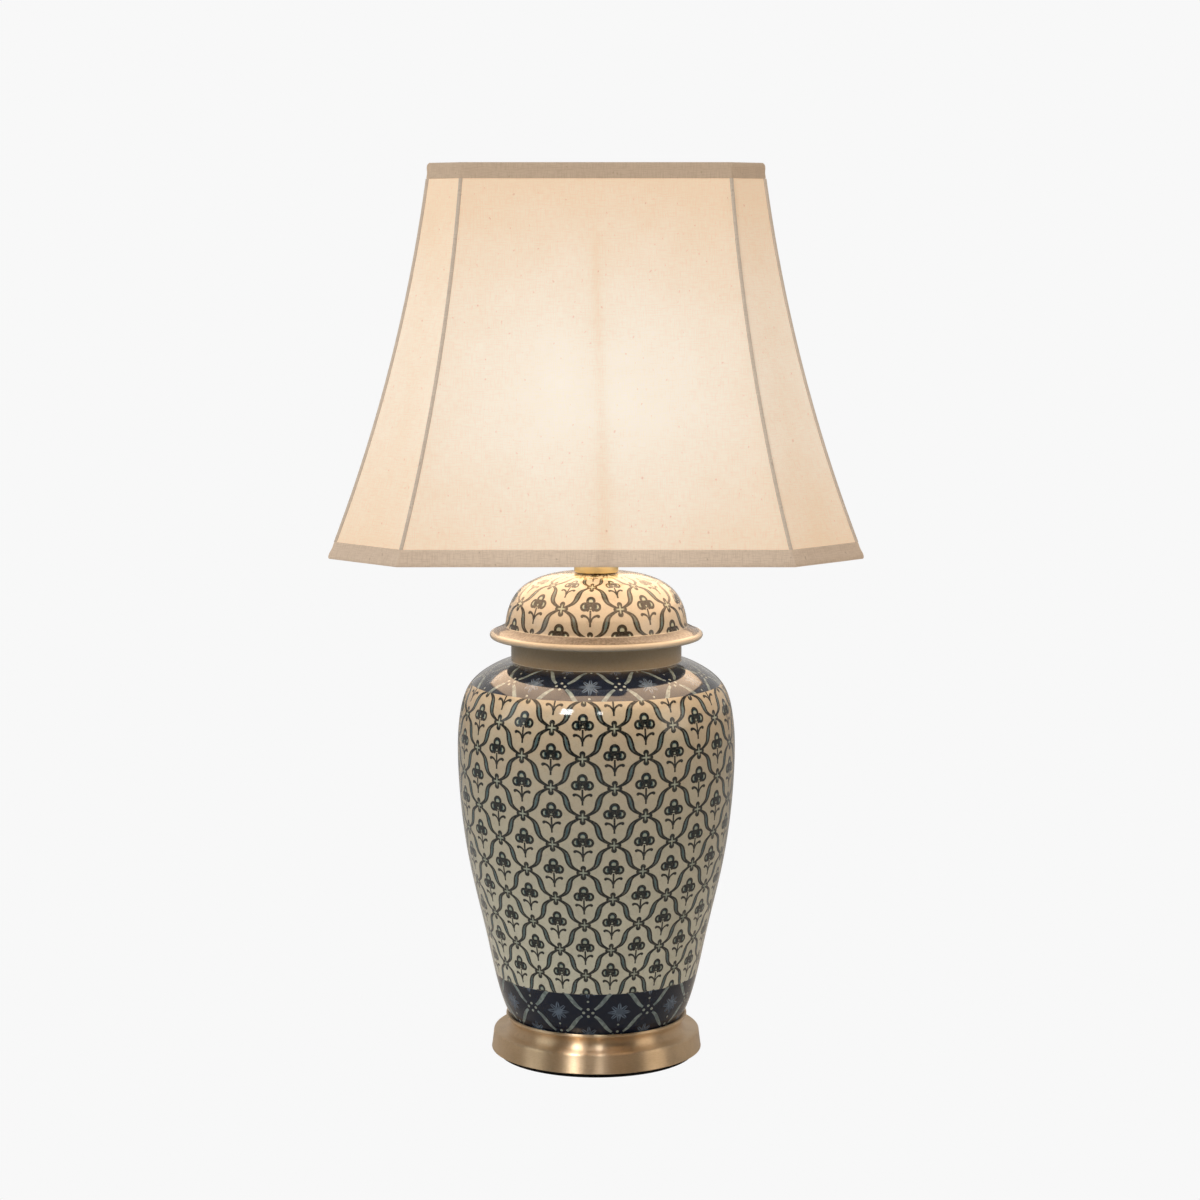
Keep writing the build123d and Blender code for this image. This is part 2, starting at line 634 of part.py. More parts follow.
def lead_route(side):
    """Route of one lead: terminal block, pipe slot, up the pipe, lampholder terminal."""
    x = side * LEAD_SPACING / 2
    start_y = TERMINAL_BLOCK_Y - TERMINAL_BLOCK[1] / 2
    entry_z = WIRING_POCKET_FLOOR + TERMINAL_BLOCK[2] / 2
    end_z = block_foot_z - TERMINAL_LUG_HEIGHT
    return [
        (side * TERMINAL_BLOCK[0] / 4, start_y, entry_z),
        (side * TERMINAL_BLOCK[0] / 4, start_y - LEAD_STUB, entry_z),
        (x, start_y / 2, entry_z),
        (x, 0, entry_z),
        (x, 0, pipe_top_z + LEAD_RADIUS),
        (side * TERMINAL_OFFSET, 0, end_z - 2 * LEAD_RADIUS),
        (side * TERMINAL_OFFSET, 0, end_z),
    ]


def inner_leads():
    leads = []
    for side in (-1, 1):
        points = lead_route(side)
        bends = [LEAD_BEND_RADIUS] * 3 + [LEAD_TOP_BEND, LEAD_END_BEND]
        leads.append(rod(FilletPolyline(*points, radius=bends), LEAD_RADIUS))
    return leads


def harp_wire():
    """Bent wire bow that carries the shade, its two legs seated on the saddle."""
    foot = harp_foot_z
    right = [
        (0, HARP_LEG_SPREAD, foot),
        (0, HARP_LEG_SPREAD, foot + HARP_LEG_HEIGHT),
        (0, HARP_BOW_HALF_WIDTH, foot + HARP_BOW_HEIGHT),
        (0, HARP_UPPER_HALF_WIDTH, harp_top_z - HARP_UPPER_DROP),
        (0, HARP_TOP_HALF_WIDTH, harp_top_z),
    ]
    left = [(x, -y, z) for x, y, z in reversed(right)]
    bends = [*HARP_BENDS, *reversed(HARP_BENDS)]
    return rod(FilletPolyline(*right, *left, radius=bends), HARP_WIRE_RADIUS)


def harp_crown():
    """Swivel seat on top of the harp: collar round the wire, flange and threaded stud."""
    foot = harp_top_z - CROWN_BELOW_WIRE
    crown = disc(CROWN_RADIUS, foot, crown_seat_z)
    crown += disc(CROWN_FLANGE_RADIUS, crown_seat_z, hub_z)
    crown += disc(STUD_RADIUS, hub_z, hub_z + STUD_LENGTH)
    cross = Cylinder(HARP_WIRE_RADIUS + WIRE_FIT, 4 * CROWN_RADIUS)
    return crown - Pos(0, 0, harp_top_z) * Rot(90, 0, 0) * cross


def ferrule(side):
    """Sliding sleeve that locks a harp leg to the saddle's tab."""
    leg_inside = HARP_LEG_SPREAD - HARP_WIRE_RADIUS
    tab_outside = saddle_tab_y() + SADDLE_THICKNESS
    centre_y = (leg_inside + tab_outside) / 2
    foot = holder_z + WIRE_FIT
    tube = disc(FERRULE_BORE_RADIUS + FERRULE_WALL, foot, foot + FERRULE_LENGTH, FERRULE_BORE_RADIUS)
    return Pos(0, side * centre_y, 0) * tube


def finial():
    """Turned knob with a blind thread, set inside the shade's top."""
    foot = hub_z + SPIDER_HUB_THICKNESS + FINIAL_SEAT_GAP
    collar = (FINIAL_FOOT_RADIUS, foot + FINIAL_COLLAR_HEIGHT)
    belly = (FINIAL_RADIUS, foot + FINIAL_BELLY_HEIGHT)
    crown = (0, foot + FINIAL_HEIGHT)
    knob = turned(
        Polyline((0, foot), (FINIAL_FOOT_RADIUS, foot), collar),
        Spline(collar, belly, crown, tangents=[(0.5, 1.0), (-1.0, 0.0)]),
        Line(crown, (0, foot)),
    )
    return knob - disc(STUD_RADIUS + FINIAL_THREAD_GAP, foot, foot + FINIAL_BORE_DEPTH)


def bell(top_half, bottom_half, sag, z):
    """Distance of a bell-shaped side from the axis at a height."""
    share = (shade_top_z - z) / SHADE_HEIGHT
    return top_half + (bottom_half - top_half) * share - 4 * sag * share * (1 - share)


def side_distance(z):
    return bell(SHADE_TOP_HALF, SHADE_BOTTOM_HALF, SHADE_SIDE_SAG, z)


def cut_corner(half, cut):
    """Distance of a cut corner's face from the axis, where it takes a cut off each side."""
    return math.sqrt(2) * half - cut / math.sqrt(2)


def corner_distance(z):
    top = cut_corner(SHADE_TOP_HALF, SHADE_TOP_CUT)
    bottom = cut_corner(SHADE_BOTTOM_HALF, SHADE_BOTTOM_CUT)
    return bell(top, bottom, SHADE_CORNER_SAG, z)


def bell_prism(distance, inset):
    """A two-sided bell profile drawn out across the whole shade."""
    spare = 2 * TRIM_BOTTOM_WIDTH
    low, high = shade_bottom_z - spare, shade_top_z + spare
    levels = (low, (low + high) / 2, high)
    right = [(distance(z) - inset, z) for z in levels]
    left = [(-x, z) for x, z in right]
    outline = Curve() + [
        ThreePointArc(*right),
        Line(right[2], left[2]),
        ThreePointArc(*left),
        Line(left[0], right[0]),
    ]
    return extrude(Plane.XZ * make_face(outline), 2 * SHADE_BOTTOM_HALF, both=True)


def bell_solid(inset):
    """The whole inside of the shade's form, a given distance inside its outer face."""
    sides = bell_prism(side_distance, inset)
    corners = bell_prism(corner_distance, inset)
    solid = sides & Rot(0, 0, 90) * sides
    return solid & Rot(0, 0, 45) * corners & Rot(0, 0, 135) * corners


def slab(bottom, top):
    width = 4 * SHADE_BOTTOM_HALF
    return block((width, width, top - bottom), 0, 0, bottom)


frame_inset = COVER_THICKNESS + FRAME_GAP + FRAME_WIRE_RADIUS
lining_inset = frame_inset + FRAME_WIRE_RADIUS + FRAME_GAP
frame_low_z = shade_bottom_z + TRIM_OVERHANG + FRAME_WIRE_RADIUS
frame_high_z = shade_top_z - TRIM_OVERHANG - FRAME_WIRE_RADIUS
cover_outer = bell_solid(0)
cover_inner = bell_solid(COVER_THICKNESS)


def shade_cover():
    band = slab(shade_bottom_z + TRIM_OVERHANG, shade_top_z - TRIM_OVERHANG)
    return (cover_outer - cover_inner) & band


def shade_lining():
    """Lining stretched inside the frame, slit at the top for the spider's arms."""
    band = slab(shade_bottom_z + TRIM_OVERHANG, shade_top_z - TRIM_OVERHANG)
    lining = (bell_solid(lining_inset) - bell_solid(lining_inset + LINING_THICKNESS)) & band
    reach = SHADE_TOP_HALF - lining_inset
    size = (LINING_SLIT_DEPTH, LINING_SLIT_WIDTH, LINING_SLIT_DEPTH)
    slit = block(size, reach, 0, shade_top_z - LINING_SLIT_DEPTH)
    for turn in range(4):
        lining -= Rot(0, 0, 90 * turn) * slit
    return lining


def trim(bottom, top):
    """Folded fabric band round an edge of the shade, standing proud of the cover."""
    return (bell_solid(-TRIM_THICKNESS) - cover_outer) & slab(bottom, top)


def seam_corner(z, inset):
    """Where a flat side meets a cut corner, as a point in the first octant."""
    side = side_distance(z) - inset
    return math.sqrt(2) * (corner_distance(z) - inset) - side, side


def seam_points(z, inset):
    """The eight corners of the shade's plan at a height, in order round it."""
    along, out = seam_corner(z, inset)
    points = []
    for turn in range(4):
        for x, y in ((along, out), (-along, out)):
            spot = Vector(x, y).rotate(Axis.Z, 90 * turn)
            points.append((spot.X, spot.Y, z))
    return points


def seam_wires(inset, radius, low, high):
    """Eight wires of many-sided section up the seams."""
    levels = [low + (high - low) * step / SEAM_SPANS for step in range(SEAM_SPANS + 1)]
    columns = zip(*[seam_points(z, inset) for z in levels])
    return [rod(Spline(*column), radius, SEAM_WIRE_SIDES) for column in columns]


def frame_ring(z):
    corners = seam_points(z, frame_inset)
    path = FilletPolyline(*corners, radius=RING_CORNER_RADIUS, close=True)
    return rod(path, FRAME_WIRE_RADIUS)


ring_top = frame_ring(frame_high_z)
ring_bottom = frame_ring(frame_low_z)


def shade_ribs():
    """Eight wires up the seams, welded end-on between the two rings."""
    wires = seam_wires(frame_inset, RIB_WIRE_RADIUS, frame_low_z, frame_high_z)
    between = slab(frame_low_z + FRAME_WIRE_RADIUS, frame_high_z - FRAME_WIRE_RADIUS)
    return [(wire & between).solids()[0] for wire in wires]


def shade_piping():
    """Raised cord over each seam, between the two trims."""
    low, high = shade_bottom_z + TRIM_BOTTOM_WIDTH, shade_top_z - TRIM_TOP_WIDTH
    cords = seam_wires(0, PIPING_RADIUS, low - TRIM_OVERHANG, high + TRIM_OVERHANG)
    return [((cord - cover_outer) & slab(low, high)).solids()[0] for cord in cords]


def spider_hub():
    """Washer that sits on the harp's crown, round its stud."""
    bore = STUD_RADIUS + SPIDER_HUB_CLEARANCE
    return disc(SPIDER_HUB_RADIUS, hub_z, hub_z + SPIDER_HUB_THICKNESS, bore)


def spider_arms():
    """Four arms welded between the washer's edge and the shade's top ring."""
    reach = side_distance(frame_high_z) - frame_inset
    arm_z = hub_z + ARM_WIRE_RADIUS
    path = FilletPolyline(
        (SPIDER_HUB_RADIUS - ARM_WIRE_RADIUS, 0, arm_z),
        (SPIDER_FLAT_RUN, 0, arm_z),
        (reach, 0, frame_high_z),
        radius=SPIDER_BEND,
    )
    width = 2 * (reach - FRAME_WIRE_RADIUS)
    within_ring = block((width, width, SHADE_HEIGHT), 0, 0, hub_z)
    weld = disc(SPIDER_HUB_RADIUS, hub_z, hub_z + 2 * ARM_WIRE_RADIUS)
    arm = ((rod(path, ARM_WIRE_RADIUS) & within_ring) - weld).solids()[0]
    return [Rot(0, 0, 90 * turn) * arm for turn in range(4)]


nodes = {
    "base_pad": base_pad(),
    "plinth_shell": plinth_shell(),
    "ballast": ballast(),
    "cord_bush": cord_bush(),
    "terminal_block": terminal_block(),
    "terminal_screws": terminal_screws(),
    "inner_leads": inner_leads(),
    "lamp_pipe": lamp_pipe(),
    "lower_washer": lower_washer(),
    "lower_nut": lower_nut(),
    "jar_gasket": jar_gasket(),
    "jar_body": jar_body(),
    "jar_lid": jar_lid(),
    "cap_gasket": cap_gasket(),
    "brass_cap": brass_cap(),
    "harp_saddle": harp_saddle(),
    "holder_cap": holder_cap(),
    "holder_shell": holder_shell(),
    "holder_sleeve": holder_sleeve(),
    "holder_block": holder_block(),
    "terminal_lugs": terminal_lugs(),
    "screw_shell": screw_shell(),
    "centre_contact": centre_contact(),
    "switch_key": switch_key(),
    "bulb_base": bulb_base(),
    "bulb_tip": bulb_tip(),
    "bulb_glass": bulb_glass(),
    "harp_wire": harp_wire(),
    "harp_crown": harp_crown(),
    "ferrule_front": ferrule(-1),
    "ferrule_back": ferrule(1),
    "finial": finial(),
    "spider_hub": spider_hub(),
    "spider_arms": spider_arms(),
    "shade_top_ring": ring_top,
    "shade_bottom_ring": ring_bottom,
    "shade_ribs": shade_ribs(),
    "shade_cover": shade_cover(),
    "shade_lining": shade_lining(),
    "shade_piping": shade_piping(),
    "shade_trim_top": trim(shade_top_z - TRIM_TOP_WIDTH, shade_top_z),
    "shade_trim_bottom": trim(shade_bottom_z, shade_bottom_z + TRIM_BOTTOM_WIDTH),
}

os.makedirs("parts", exist_ok=True)
for name, shape in nodes.items():
    solids = shape if isinstance(shape, list) else [shape]
    export_step(Compound(children=[Part(solid.wrapped) for solid in solids]), f"parts/{name}.step")
    print(name, round(sum(solid.volume for solid in solids)))
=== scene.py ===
"""Looks of the ginger jar lamp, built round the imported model's fixed frame.

Objects are in metres in the lamp's own frame: +Z runs up the lamp's axis, the front faces -Y
and the origin is the middle of the pad's underside. The sizes of pieces and of the painted
ornament are written in millimetres, those of patterns in the other finishes in metres.
"""

import logging
import math
from dataclasses import dataclass
from enum import Enum
from typing import Callable, Iterable, Sequence

import bpy
import numpy as np
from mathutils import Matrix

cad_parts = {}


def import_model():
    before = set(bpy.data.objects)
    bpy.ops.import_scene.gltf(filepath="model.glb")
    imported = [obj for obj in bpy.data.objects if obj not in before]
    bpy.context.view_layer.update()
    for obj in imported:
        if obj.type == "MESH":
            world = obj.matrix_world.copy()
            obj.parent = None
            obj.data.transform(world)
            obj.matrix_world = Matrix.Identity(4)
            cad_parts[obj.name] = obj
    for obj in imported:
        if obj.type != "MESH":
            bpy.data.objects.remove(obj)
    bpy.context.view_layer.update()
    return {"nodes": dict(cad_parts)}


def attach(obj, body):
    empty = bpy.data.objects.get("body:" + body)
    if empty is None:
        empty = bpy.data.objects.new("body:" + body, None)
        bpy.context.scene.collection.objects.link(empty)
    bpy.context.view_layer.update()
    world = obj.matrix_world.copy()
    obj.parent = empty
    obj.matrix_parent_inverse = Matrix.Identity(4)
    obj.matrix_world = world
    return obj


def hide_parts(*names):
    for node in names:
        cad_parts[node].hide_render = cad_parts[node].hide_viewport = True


log = logging.getLogger("ginger_jar_lamp")

Point = tuple[float, float]
Spot = tuple[float, float, float]
Colour = tuple[float, float, float]

MM = 0.001
PIPE_HOLE = 5.1  # radius of the holes that the lamp pipe passes, in millimetres
BULB_CENTRE = 527.5  # height of the middle of the bulb, in millimetres
CLOTH_MAP = "Cloth"  # UV map of a sewn piece: its place on the cloth, in metres
CLIMB = "Climb"  # attribute of a thrown piece: the way up its outside, in millimetres
OFF_THE_RUN = -1000.0  # the climb of points that don't lie on the outside


def srgb(red: int, green: int, blue: int) -> Colour:
    """A colour given in 0-255 screen values, as the linear values a shader takes.

    Args:
        red: Red, 0 to 255.
        green: Green, 0 to 255.
        blue: Blue, 0 to 255.

    Returns:
        The linear colour.
    """

    def linear(value: int) -> float:
        """One channel, from screen value to linear."""
        share = value / 255
        return share / 12.92 if share <= 0.04045 else ((share + 0.055) / 1.055) ** 2.4

    return linear(red), linear(green), linear(blue)


# --------------------------------------------------------------------------------------
# Node arithmetic
# --------------------------------------------------------------------------------------


def wire(tree: bpy.types.NodeTree, value: "Signal | float | Colour", socket: bpy.types.NodeSocket) -> None:
    """Gives an input socket a value, linked where it changes over the surface.

    Args:
        tree: The tree that holds the socket.
        value: A value of that tree, a number or a colour.
        socket: The input socket.
    """
    if isinstance(value, Signal):
        tree.links.new(value.socket, socket)
    elif isinstance(value, tuple) and len(socket.default_value) == 4:
        socket.default_value = (*value, 1.0)
    else:
        socket.default_value = value


def add_node(
    tree: bpy.types.NodeTree,
    kind: str,
    inputs: "Sequence[Signal | float] | dict[str | int, Signal | float | Colour]" = (),
    **settings: "str | bpy.types.NodeTree",
) -> bpy.types.Node:
    """Adds a node to a tree.

    Args:
        tree: The tree.
        kind: The node's type, without the ShaderNode in front.
        inputs: Its inputs, in order, or by name or number.
        settings: Its options.

    Returns:
        The node.
    """
    node = tree.nodes.new("ShaderNode" + kind)
    for option, choice in settings.items():
        setattr(node, option, choice)
    given = inputs if isinstance(inputs, dict) else dict(enumerate(inputs))
    for key, value in given.items():
        wire(tree, value, node.inputs[key])
    return node


class Signal:
    """A value that changes over a surface: one output socket of a node tree."""

    def __init__(self, tree: bpy.types.NodeTree, socket: bpy.types.NodeSocket) -> None:
        """Keeps the tree and the socket that carries the value."""
        self.tree = tree
        self.socket = socket

    @classmethod
    def made(
        cls,
        tree: bpy.types.NodeTree,
        kind: str,
        inputs: "Sequence[Signal | float] | dict[str | int, Signal | float | Colour]" = (),
        out: str | int = 0,
        **settings: str,
    ) -> "Signal":
        """Adds a node and takes one of its outputs.

        Args:
            tree: The tree.
            kind: The node's type, without the ShaderNode in front.
            inputs: Its inputs, in order, or by name or number.
            out: The output's name or number.
            settings: The node's options.

        Returns:
            The output.
        """
        return cls(tree, add_node(tree, kind, inputs, **settings).outputs[out])

    def maths(self, operation: str, *others: "Signal | float") -> "Signal":
        """Runs a Math node on this value and any others."""
        return Signal.made(self.tree, "Math", (self, *others), operation=operation)

    def __add__(self, other: "Signal | float") -> "Signal":
        """Sum."""
        return self.maths("ADD", other)

    def __sub__(self, other: "Signal | float") -> "Signal":
        """Difference."""
        return self.maths("SUBTRACT", other)

    def __rsub__(self, other: float) -> "Signal":
        """A number less this value."""
        return self * -1.0 + other

    def __mul__(self, other: "Signal | float") -> "Signal":
        """Product."""
        return self.maths("MULTIPLY", other)

    def __truediv__(self, other: "Signal | float") -> "Signal":
        """Quotient."""
        return self.maths("DIVIDE", other)

    def size(self) -> "Signal":
        """Absolute value."""
        return self.maths("ABSOLUTE")

    def least(self, other: "Signal | float") -> "Signal":
        """The smaller of two values."""
        return self.maths("MINIMUM", other)

    def most(self, other: "Signal | float") -> "Signal":
        """The larger of two values."""
        return self.maths("MAXIMUM", other)

    def wrapped(self, period: float) -> "Signal":
        """The value brought to within half a period either side of zero."""
        return self.maths("WRAP", period / 2, -period / 2)

    def ramp(self, low: float, high: float, start: float = 0.0, end: float = 1.0) -> "Signal":
        """Eases from start to end as the value goes from low to high.

        Args:
            low: Value where the result is start.
            high: Value where the result is end.
            start: Result at and before low.
            end: Result at and past high.

        Returns:
            The eased value.
        """
        inputs = (self, low, high, start, end)
        return Signal.made(self.tree, "MapRange", inputs, interpolation_type="SMOOTHSTEP")

    def inside(self, edge: float = 0.0, soft: float = 0.45) -> "Signal":
        """1 where the value is below an edge, 0 above it, with a soft step between."""
        return (self - edge).ramp(-soft / 2, soft / 2, 1.0, 0.0)

    def between(self, start: float, end: float, soft: float = 0.45) -> "Signal":
        """1 where the value lies between two edges, 0 elsewhere, with soft steps between."""
        return (self - (start + end) / 2).size().inside((end - start) / 2, soft)

    def vector(self, operation: str, other: "Signal | Spot", out: str = "Vector") -> "Signal":
        """Runs a Vector Math node on this vector and another."""
        return Signal.made(self.tree, "VectorMath", (self, other), out, operation=operation)

    def parts(self) -> tuple["Signal", "Signal", "Signal"]:
        """The three components of a vector."""
        outputs = add_node(self.tree, "SeparateXYZ", (self,)).outputs
        return tuple(Signal(self.tree, socket) for socket in outputs)

    def paint(self, under: "Signal | Colour", over: "Signal | Colour") -> "Signal":
        """Mixes two colours by this mask.

        Args:
            under: Colour where the mask is 0.
            over: Colour where the mask is 1.

        Returns:
            The mixed colour.
        """
        # A Mix node has sockets for every kind of value: 6, 7 and output 2 are the colours
        return Signal.made(self.tree, "Mix", {0: self, 6: under, 7: over}, 2, data_type="RGBA")


def length(x: Signal, y: Signal) -> Signal:
    """Length of the flat vector (x, y)."""
    return (x * x + y * y).maths("SQRT")


def noise(place: Signal, scale: float, detail: float = 2.0, rough: float = 0.5) -> Signal:
    """Soft noise from 0 to 1 at a place.

    Args:
        place: Coordinates.
        scale: Lumps in a unit of length.
        detail: Number of finer layers.
        rough: Share of the finer layers.

    Returns:
        The noise.
    """
    inputs = {"Vector": place, "Scale": scale, "Detail": detail, "Roughness": rough}
    return Signal.made(place.tree, "TexNoise", inputs)


class Effect:
    """A node group in the making, used by more than one material."""

    def __init__(self, name: str) -> None:
        """Makes an empty group with its input and output nodes.

        Args:
            name: The group's name.
        """
        self.tree = bpy.data.node_groups.new(name, "ShaderNodeTree")
        self.inlet = self.tree.nodes.new("NodeGroupInput")
        self.outlet = self.tree.nodes.new("NodeGroupOutput")

    def takes(self, name: str, kind: str = "NodeSocketFloat") -> Signal:
        """Adds an input, a number unless another kind is given."""
        self.tree.interface.new_socket(name=name, in_out="INPUT", socket_type=kind)
        return Signal(self.tree, self.inlet.outputs[name])

    def takes_place(self) -> Signal:
        """Adds the surface's place as an input."""
        return self.takes("Place", "NodeSocketVector")

    def gives(self, **signals: Signal) -> bpy.types.NodeTree:
        """Adds the group's outputs, all of them numbers.

        Args:
            signals: The outputs by name.

        Returns:
            The finished group.
        """
        for name, signal in signals.items():
            self.tree.interface.new_socket(name=name, in_out="OUTPUT", socket_type="NodeSocketFloat")
            self.tree.links.new(signal.socket, self.outlet.inputs[name])
        return self.tree


class Effects(Enum):
    """The shared effects, each built once, when first used."""

    TRELLIS = "Trellis"
    STAR_BAND = "Star Band"
    CRACKLE = "Crackle"
    BRUSHED = "Brushed"
    WEAVE = "Weave"
    GLOW = "Lamp Glow"
    DUST = "Dust"

    def group(self) -> bpy.types.NodeTree:
        """The effect's node group, built on first use."""
        return bpy.data.node_groups.get(self.value) or EFFECT_MAKERS[self](self.value)

    def on(self, tree: bpy.types.NodeTree, **given: "Signal | float") -> dict[str, Signal]:
        """Places the effect in a tree, with its inputs given by name, and gives its outputs by name."""
        node = add_node(tree, "Group", given, node_tree=self.group())
        return {socket.name: Signal(tree, socket) for socket in node.outputs}


# Size of half a trellis cell, across and up, in the drawing's own millimetres
HALF_CELL = (25.0, 23.5)


@dataclass(frozen=True)
class Dab:
    """A round dab of the brush, one to each side where it stands off the middle line.

    Attributes:
        aside: Distance of its centre from the middle line, in the drawing's millimetres.
        up: Height of its centre.
        radius: Its radius.
    """

    aside: float
    up: float
    radius: float

    def away(self, side: Signal, height: Signal) -> Signal:
        """Distance from the dab's edge, below zero inside it."""
        return length(side - self.aside, height - self.up) - self.radius


def cell_places(across: Signal, rows: Signal) -> tuple[Signal, Signal, Signal]:
    """Where a point lies in its column of the trellis.

    Args:
        across: Half cells round the jar.
        rows: Half rows up the jar.

    Returns:
        The distance from the column's middle, and the heights from the nearest crossing and
        from the middle of the nearest cell, all in the drawing's millimetres.
    """
    column = (across + 0.5).maths("FLOOR")
    odd = column.maths("WRAP", 2.0, 0.0)
    x = (across - column) * HALF_CELL[0]
    knot_y = (rows - odd).wrapped(2.0) * HALF_CELL[1]
    cell_y = (rows - odd - 1.0).wrapped(2.0) * HALF_CELL[1]
    return x, knot_y, cell_y


def ribbon_distance(across: Signal, rows: Signal, sway: float, upright: float) -> Signal:
    """Distance to the nearest of the trellis's swaying lines.

    Args:
        across: Half cells round the jar.
        rows: Half rows up the jar.
        sway: How far the lines bend, 0 for straight diagonals.
        upright: How much of their middle runs straight up.

    Returns:
        The distance in the drawing's millimetres.
    """
    turn, double = rows * (2 * math.pi), rows * (4 * math.pi)
    bend = turn.maths("SINE") * (sway / (2 * math.pi))
    line = rows + bend + double.maths("SINE") * (upright / (4 * math.pi))
    slope = turn.maths("COSINE") * sway + double.maths("COSINE") * upright + 1.0
    tilt = (slope * slope + 1.0).maths("INVERSE_SQRT") * HALF_CELL[0]
    rising = (across - line).wrapped(2.0).size()
    falling = (across + line).wrapped(2.0).size()
    return rising.least(falling) * tilt


def make_trellis(name: str) -> bpy.types.NodeTree:
    """Ogee trellis: leaf-shaped ribbons, a knot of four petals at each crossing, a sprig in each cell.

    Args:
        name: The group's name.

    Returns:
        The group: half cells across and half rows up go in, Ink, Wash and Pale masks come out.
    """
    effect = Effect(name)
    across, rows = effect.takes("Across"), effect.takes("Rows")
    x, knot_y, cell_y = cell_places(across, rows)
    side, rise = x.size(), knot_y.size()

    # Ribbons: an ink stroke round a belly of wash
    tip, belly, taper, stroke = 1.0, 1.7, 1.7, 1.75
    swell = (rows * math.pi).maths("SINE").size().maths("POWER", taper)
    ribbon = ribbon_distance(across, rows, sway=1.0, upright=0.22) - (swell * belly + tip)
    hollow = ribbon + stroke
    ink, wash = ribbon.most(hollow * -1.0).inside(), hollow.inside()

    # The knot at each crossing, with a pale plus in it
    petals = Dab(0.0, 3.9, 2.4).away(side, rise).least(Dab(3.7, 0.0, 2.2).away(side, knot_y))
    heart, bar, bar_end = 2.3, 0.62, 0.2
    knot = petals.least(side.most(rise) - heart)
    plus = side.most(rise * bar_end).least(rise.most(side * bar_end)) - bar
    ink, pale = ink.most(knot.inside()), plus.inside(soft=0.5)

    # The sprig: three petals drawn round a core, a chin under them, a stem and two leaves
    sprig_up, petal_stroke, petal_line = 3.1, 0.75, 1.1
    y = cell_y - sprig_up
    crown, cheek = Dab(0.0, 4.4, 3.9).away(side, y), Dab(5.1, -0.7, 3.6).away(side, y)
    core = Dab(0.0, -0.4, 2.8).away(side * 0.54, y).least(Dab(0.0, 1.8, 2.3).away(side, y))
    chin = Dab(2.4, -3.4, 1.3).away(side, y)
    outline = (crown + petal_stroke).size().least((cheek + petal_stroke).size()) - petal_line
    stem_middle, stem_half, stem_line = -10.2, 6.0, 0.8
    stem = side.most(((y - stem_middle).size() - stem_half) * 1.5) - stem_line
    leaf_low, leaf_end, leaf_line = -13.2, 6.6, 0.65
    bow = Dab(5.9, -13.4, 5.4).away(side, y).size() - (side * 0.07 + leaf_line)
    leaf = bow.most(leaf_low - y).most(side - leaf_end).least(Dab(leaf_end, -8.4, 1.3).away(side, y))
    ink = ink.most(outline.least(core).least(chin).least(stem).least(leaf).inside())
    wash = wash.most((crown.least(cheek) + 1.4).inside())

    # Pale touches on the sprig
    glint_low, crescent_start, crescent_inset = 3.2, 5.6, 1.75
    glint = Dab(0.0, 4.0, 1.75).away(side, y).most(glint_low - y)
    crescent = (cheek + crescent_inset).most(crescent_start - side)
    dot = Dab(0.0, -1.5, 0.75).away(side, y)
    pale = pale.most(glint.least(crescent).least(dot).inside())
    return effect.gives(Ink=ink, Wash=wash, Pale=pale)


def make_star_band(name: str) -> bpy.types.NodeTree:
    """Pale trellis for a dark band, with dotted crossings and eight-pointed stars.

    Args:
        name: The group's name.

    Returns:
        The group: half cells across and half rows up go in; Ribbon, Bead and Star masks come out.
    """
    effect = Effect(name)
    across, rows = effect.takes("Across"), effect.takes("Rows")
    x, knot_y, cell_y = cell_places(across, rows)
    side, rise = x.size(), knot_y.size()

    tip, belly, crossing = 0.65, 1.1, 6.0
    swell = (rows * math.pi).maths("SINE").size()
    ribbon = ribbon_distance(across, rows, sway=0.5, upright=0.1) - (swell * belly + tip)
    ribbon = ribbon.most(crossing - length(x, knot_y))
    beads = Dab(3.7, 0.0, 1.25).away(side, rise).least(Dab(0.0, 3.5, 1.25).away(side, rise))
    specks = Dab(0.0, 11.0, 0.95).away(x, knot_y)

    # The star: eight petals, each with a dark vein; the upright and level ones are longer
    petal_length, petal_half, petal_root = 10.0, 1.5, 0.1
    short_tip, long_tip, vein, vein_start, eye = 8.4, 9.6, 0.35, 4.0, 1.6
    angle, reach = cell_y.maths("ARCTAN2", x), length(x, cell_y)
    aside = (angle.wrapped(math.pi / 4).maths("SINE") * reach).size()
    tips = angle.wrapped(math.pi / 2).maths("COSINE").ramp(0.80, 0.98, short_tip, long_tip)
    bulge = (reach * (math.pi / petal_length)).maths("SINE").size() * petal_half
    petal = (aside - (bulge + petal_root)).most(reach - tips)
    petal = petal.most(vein - aside.most(vein_start - reach))
    star = petal.least(reach - eye).inside(soft=0.6)
    return effect.gives(Ribbon=ribbon.inside(), Bead=beads.least(specks).inside(), Star=star)


def make_crackle(name: str) -> bpy.types.NodeTree:
    """Fine craze lines and cloudy depth of an old glaze.

    Args:
        name: The group's name.

    Returns:
        The group: a Place goes in, Lines and Cloud come out.
    """
    effect = Effect(name)
    place = effect.takes_place()
    wander = (0.004, 0.004, 0.004)
    warp = Signal.made(effect.tree, "TexNoise", {"Vector": place, "Scale": 90.0}, "Color")
    inputs = {"Vector": place.vector("ADD", warp.vector("MULTIPLY", wander)), "Scale": 260.0}
    edge = Signal.made(effect.tree, "TexVoronoi", inputs, "Distance", feature="DISTANCE_TO_EDGE")
    lines = edge.ramp(0.0, 0.05, 1.0, 0.0)
    return effect.gives(Lines=lines, Cloud=noise(place, scale=34.0, detail=4.0, rough=0.6))


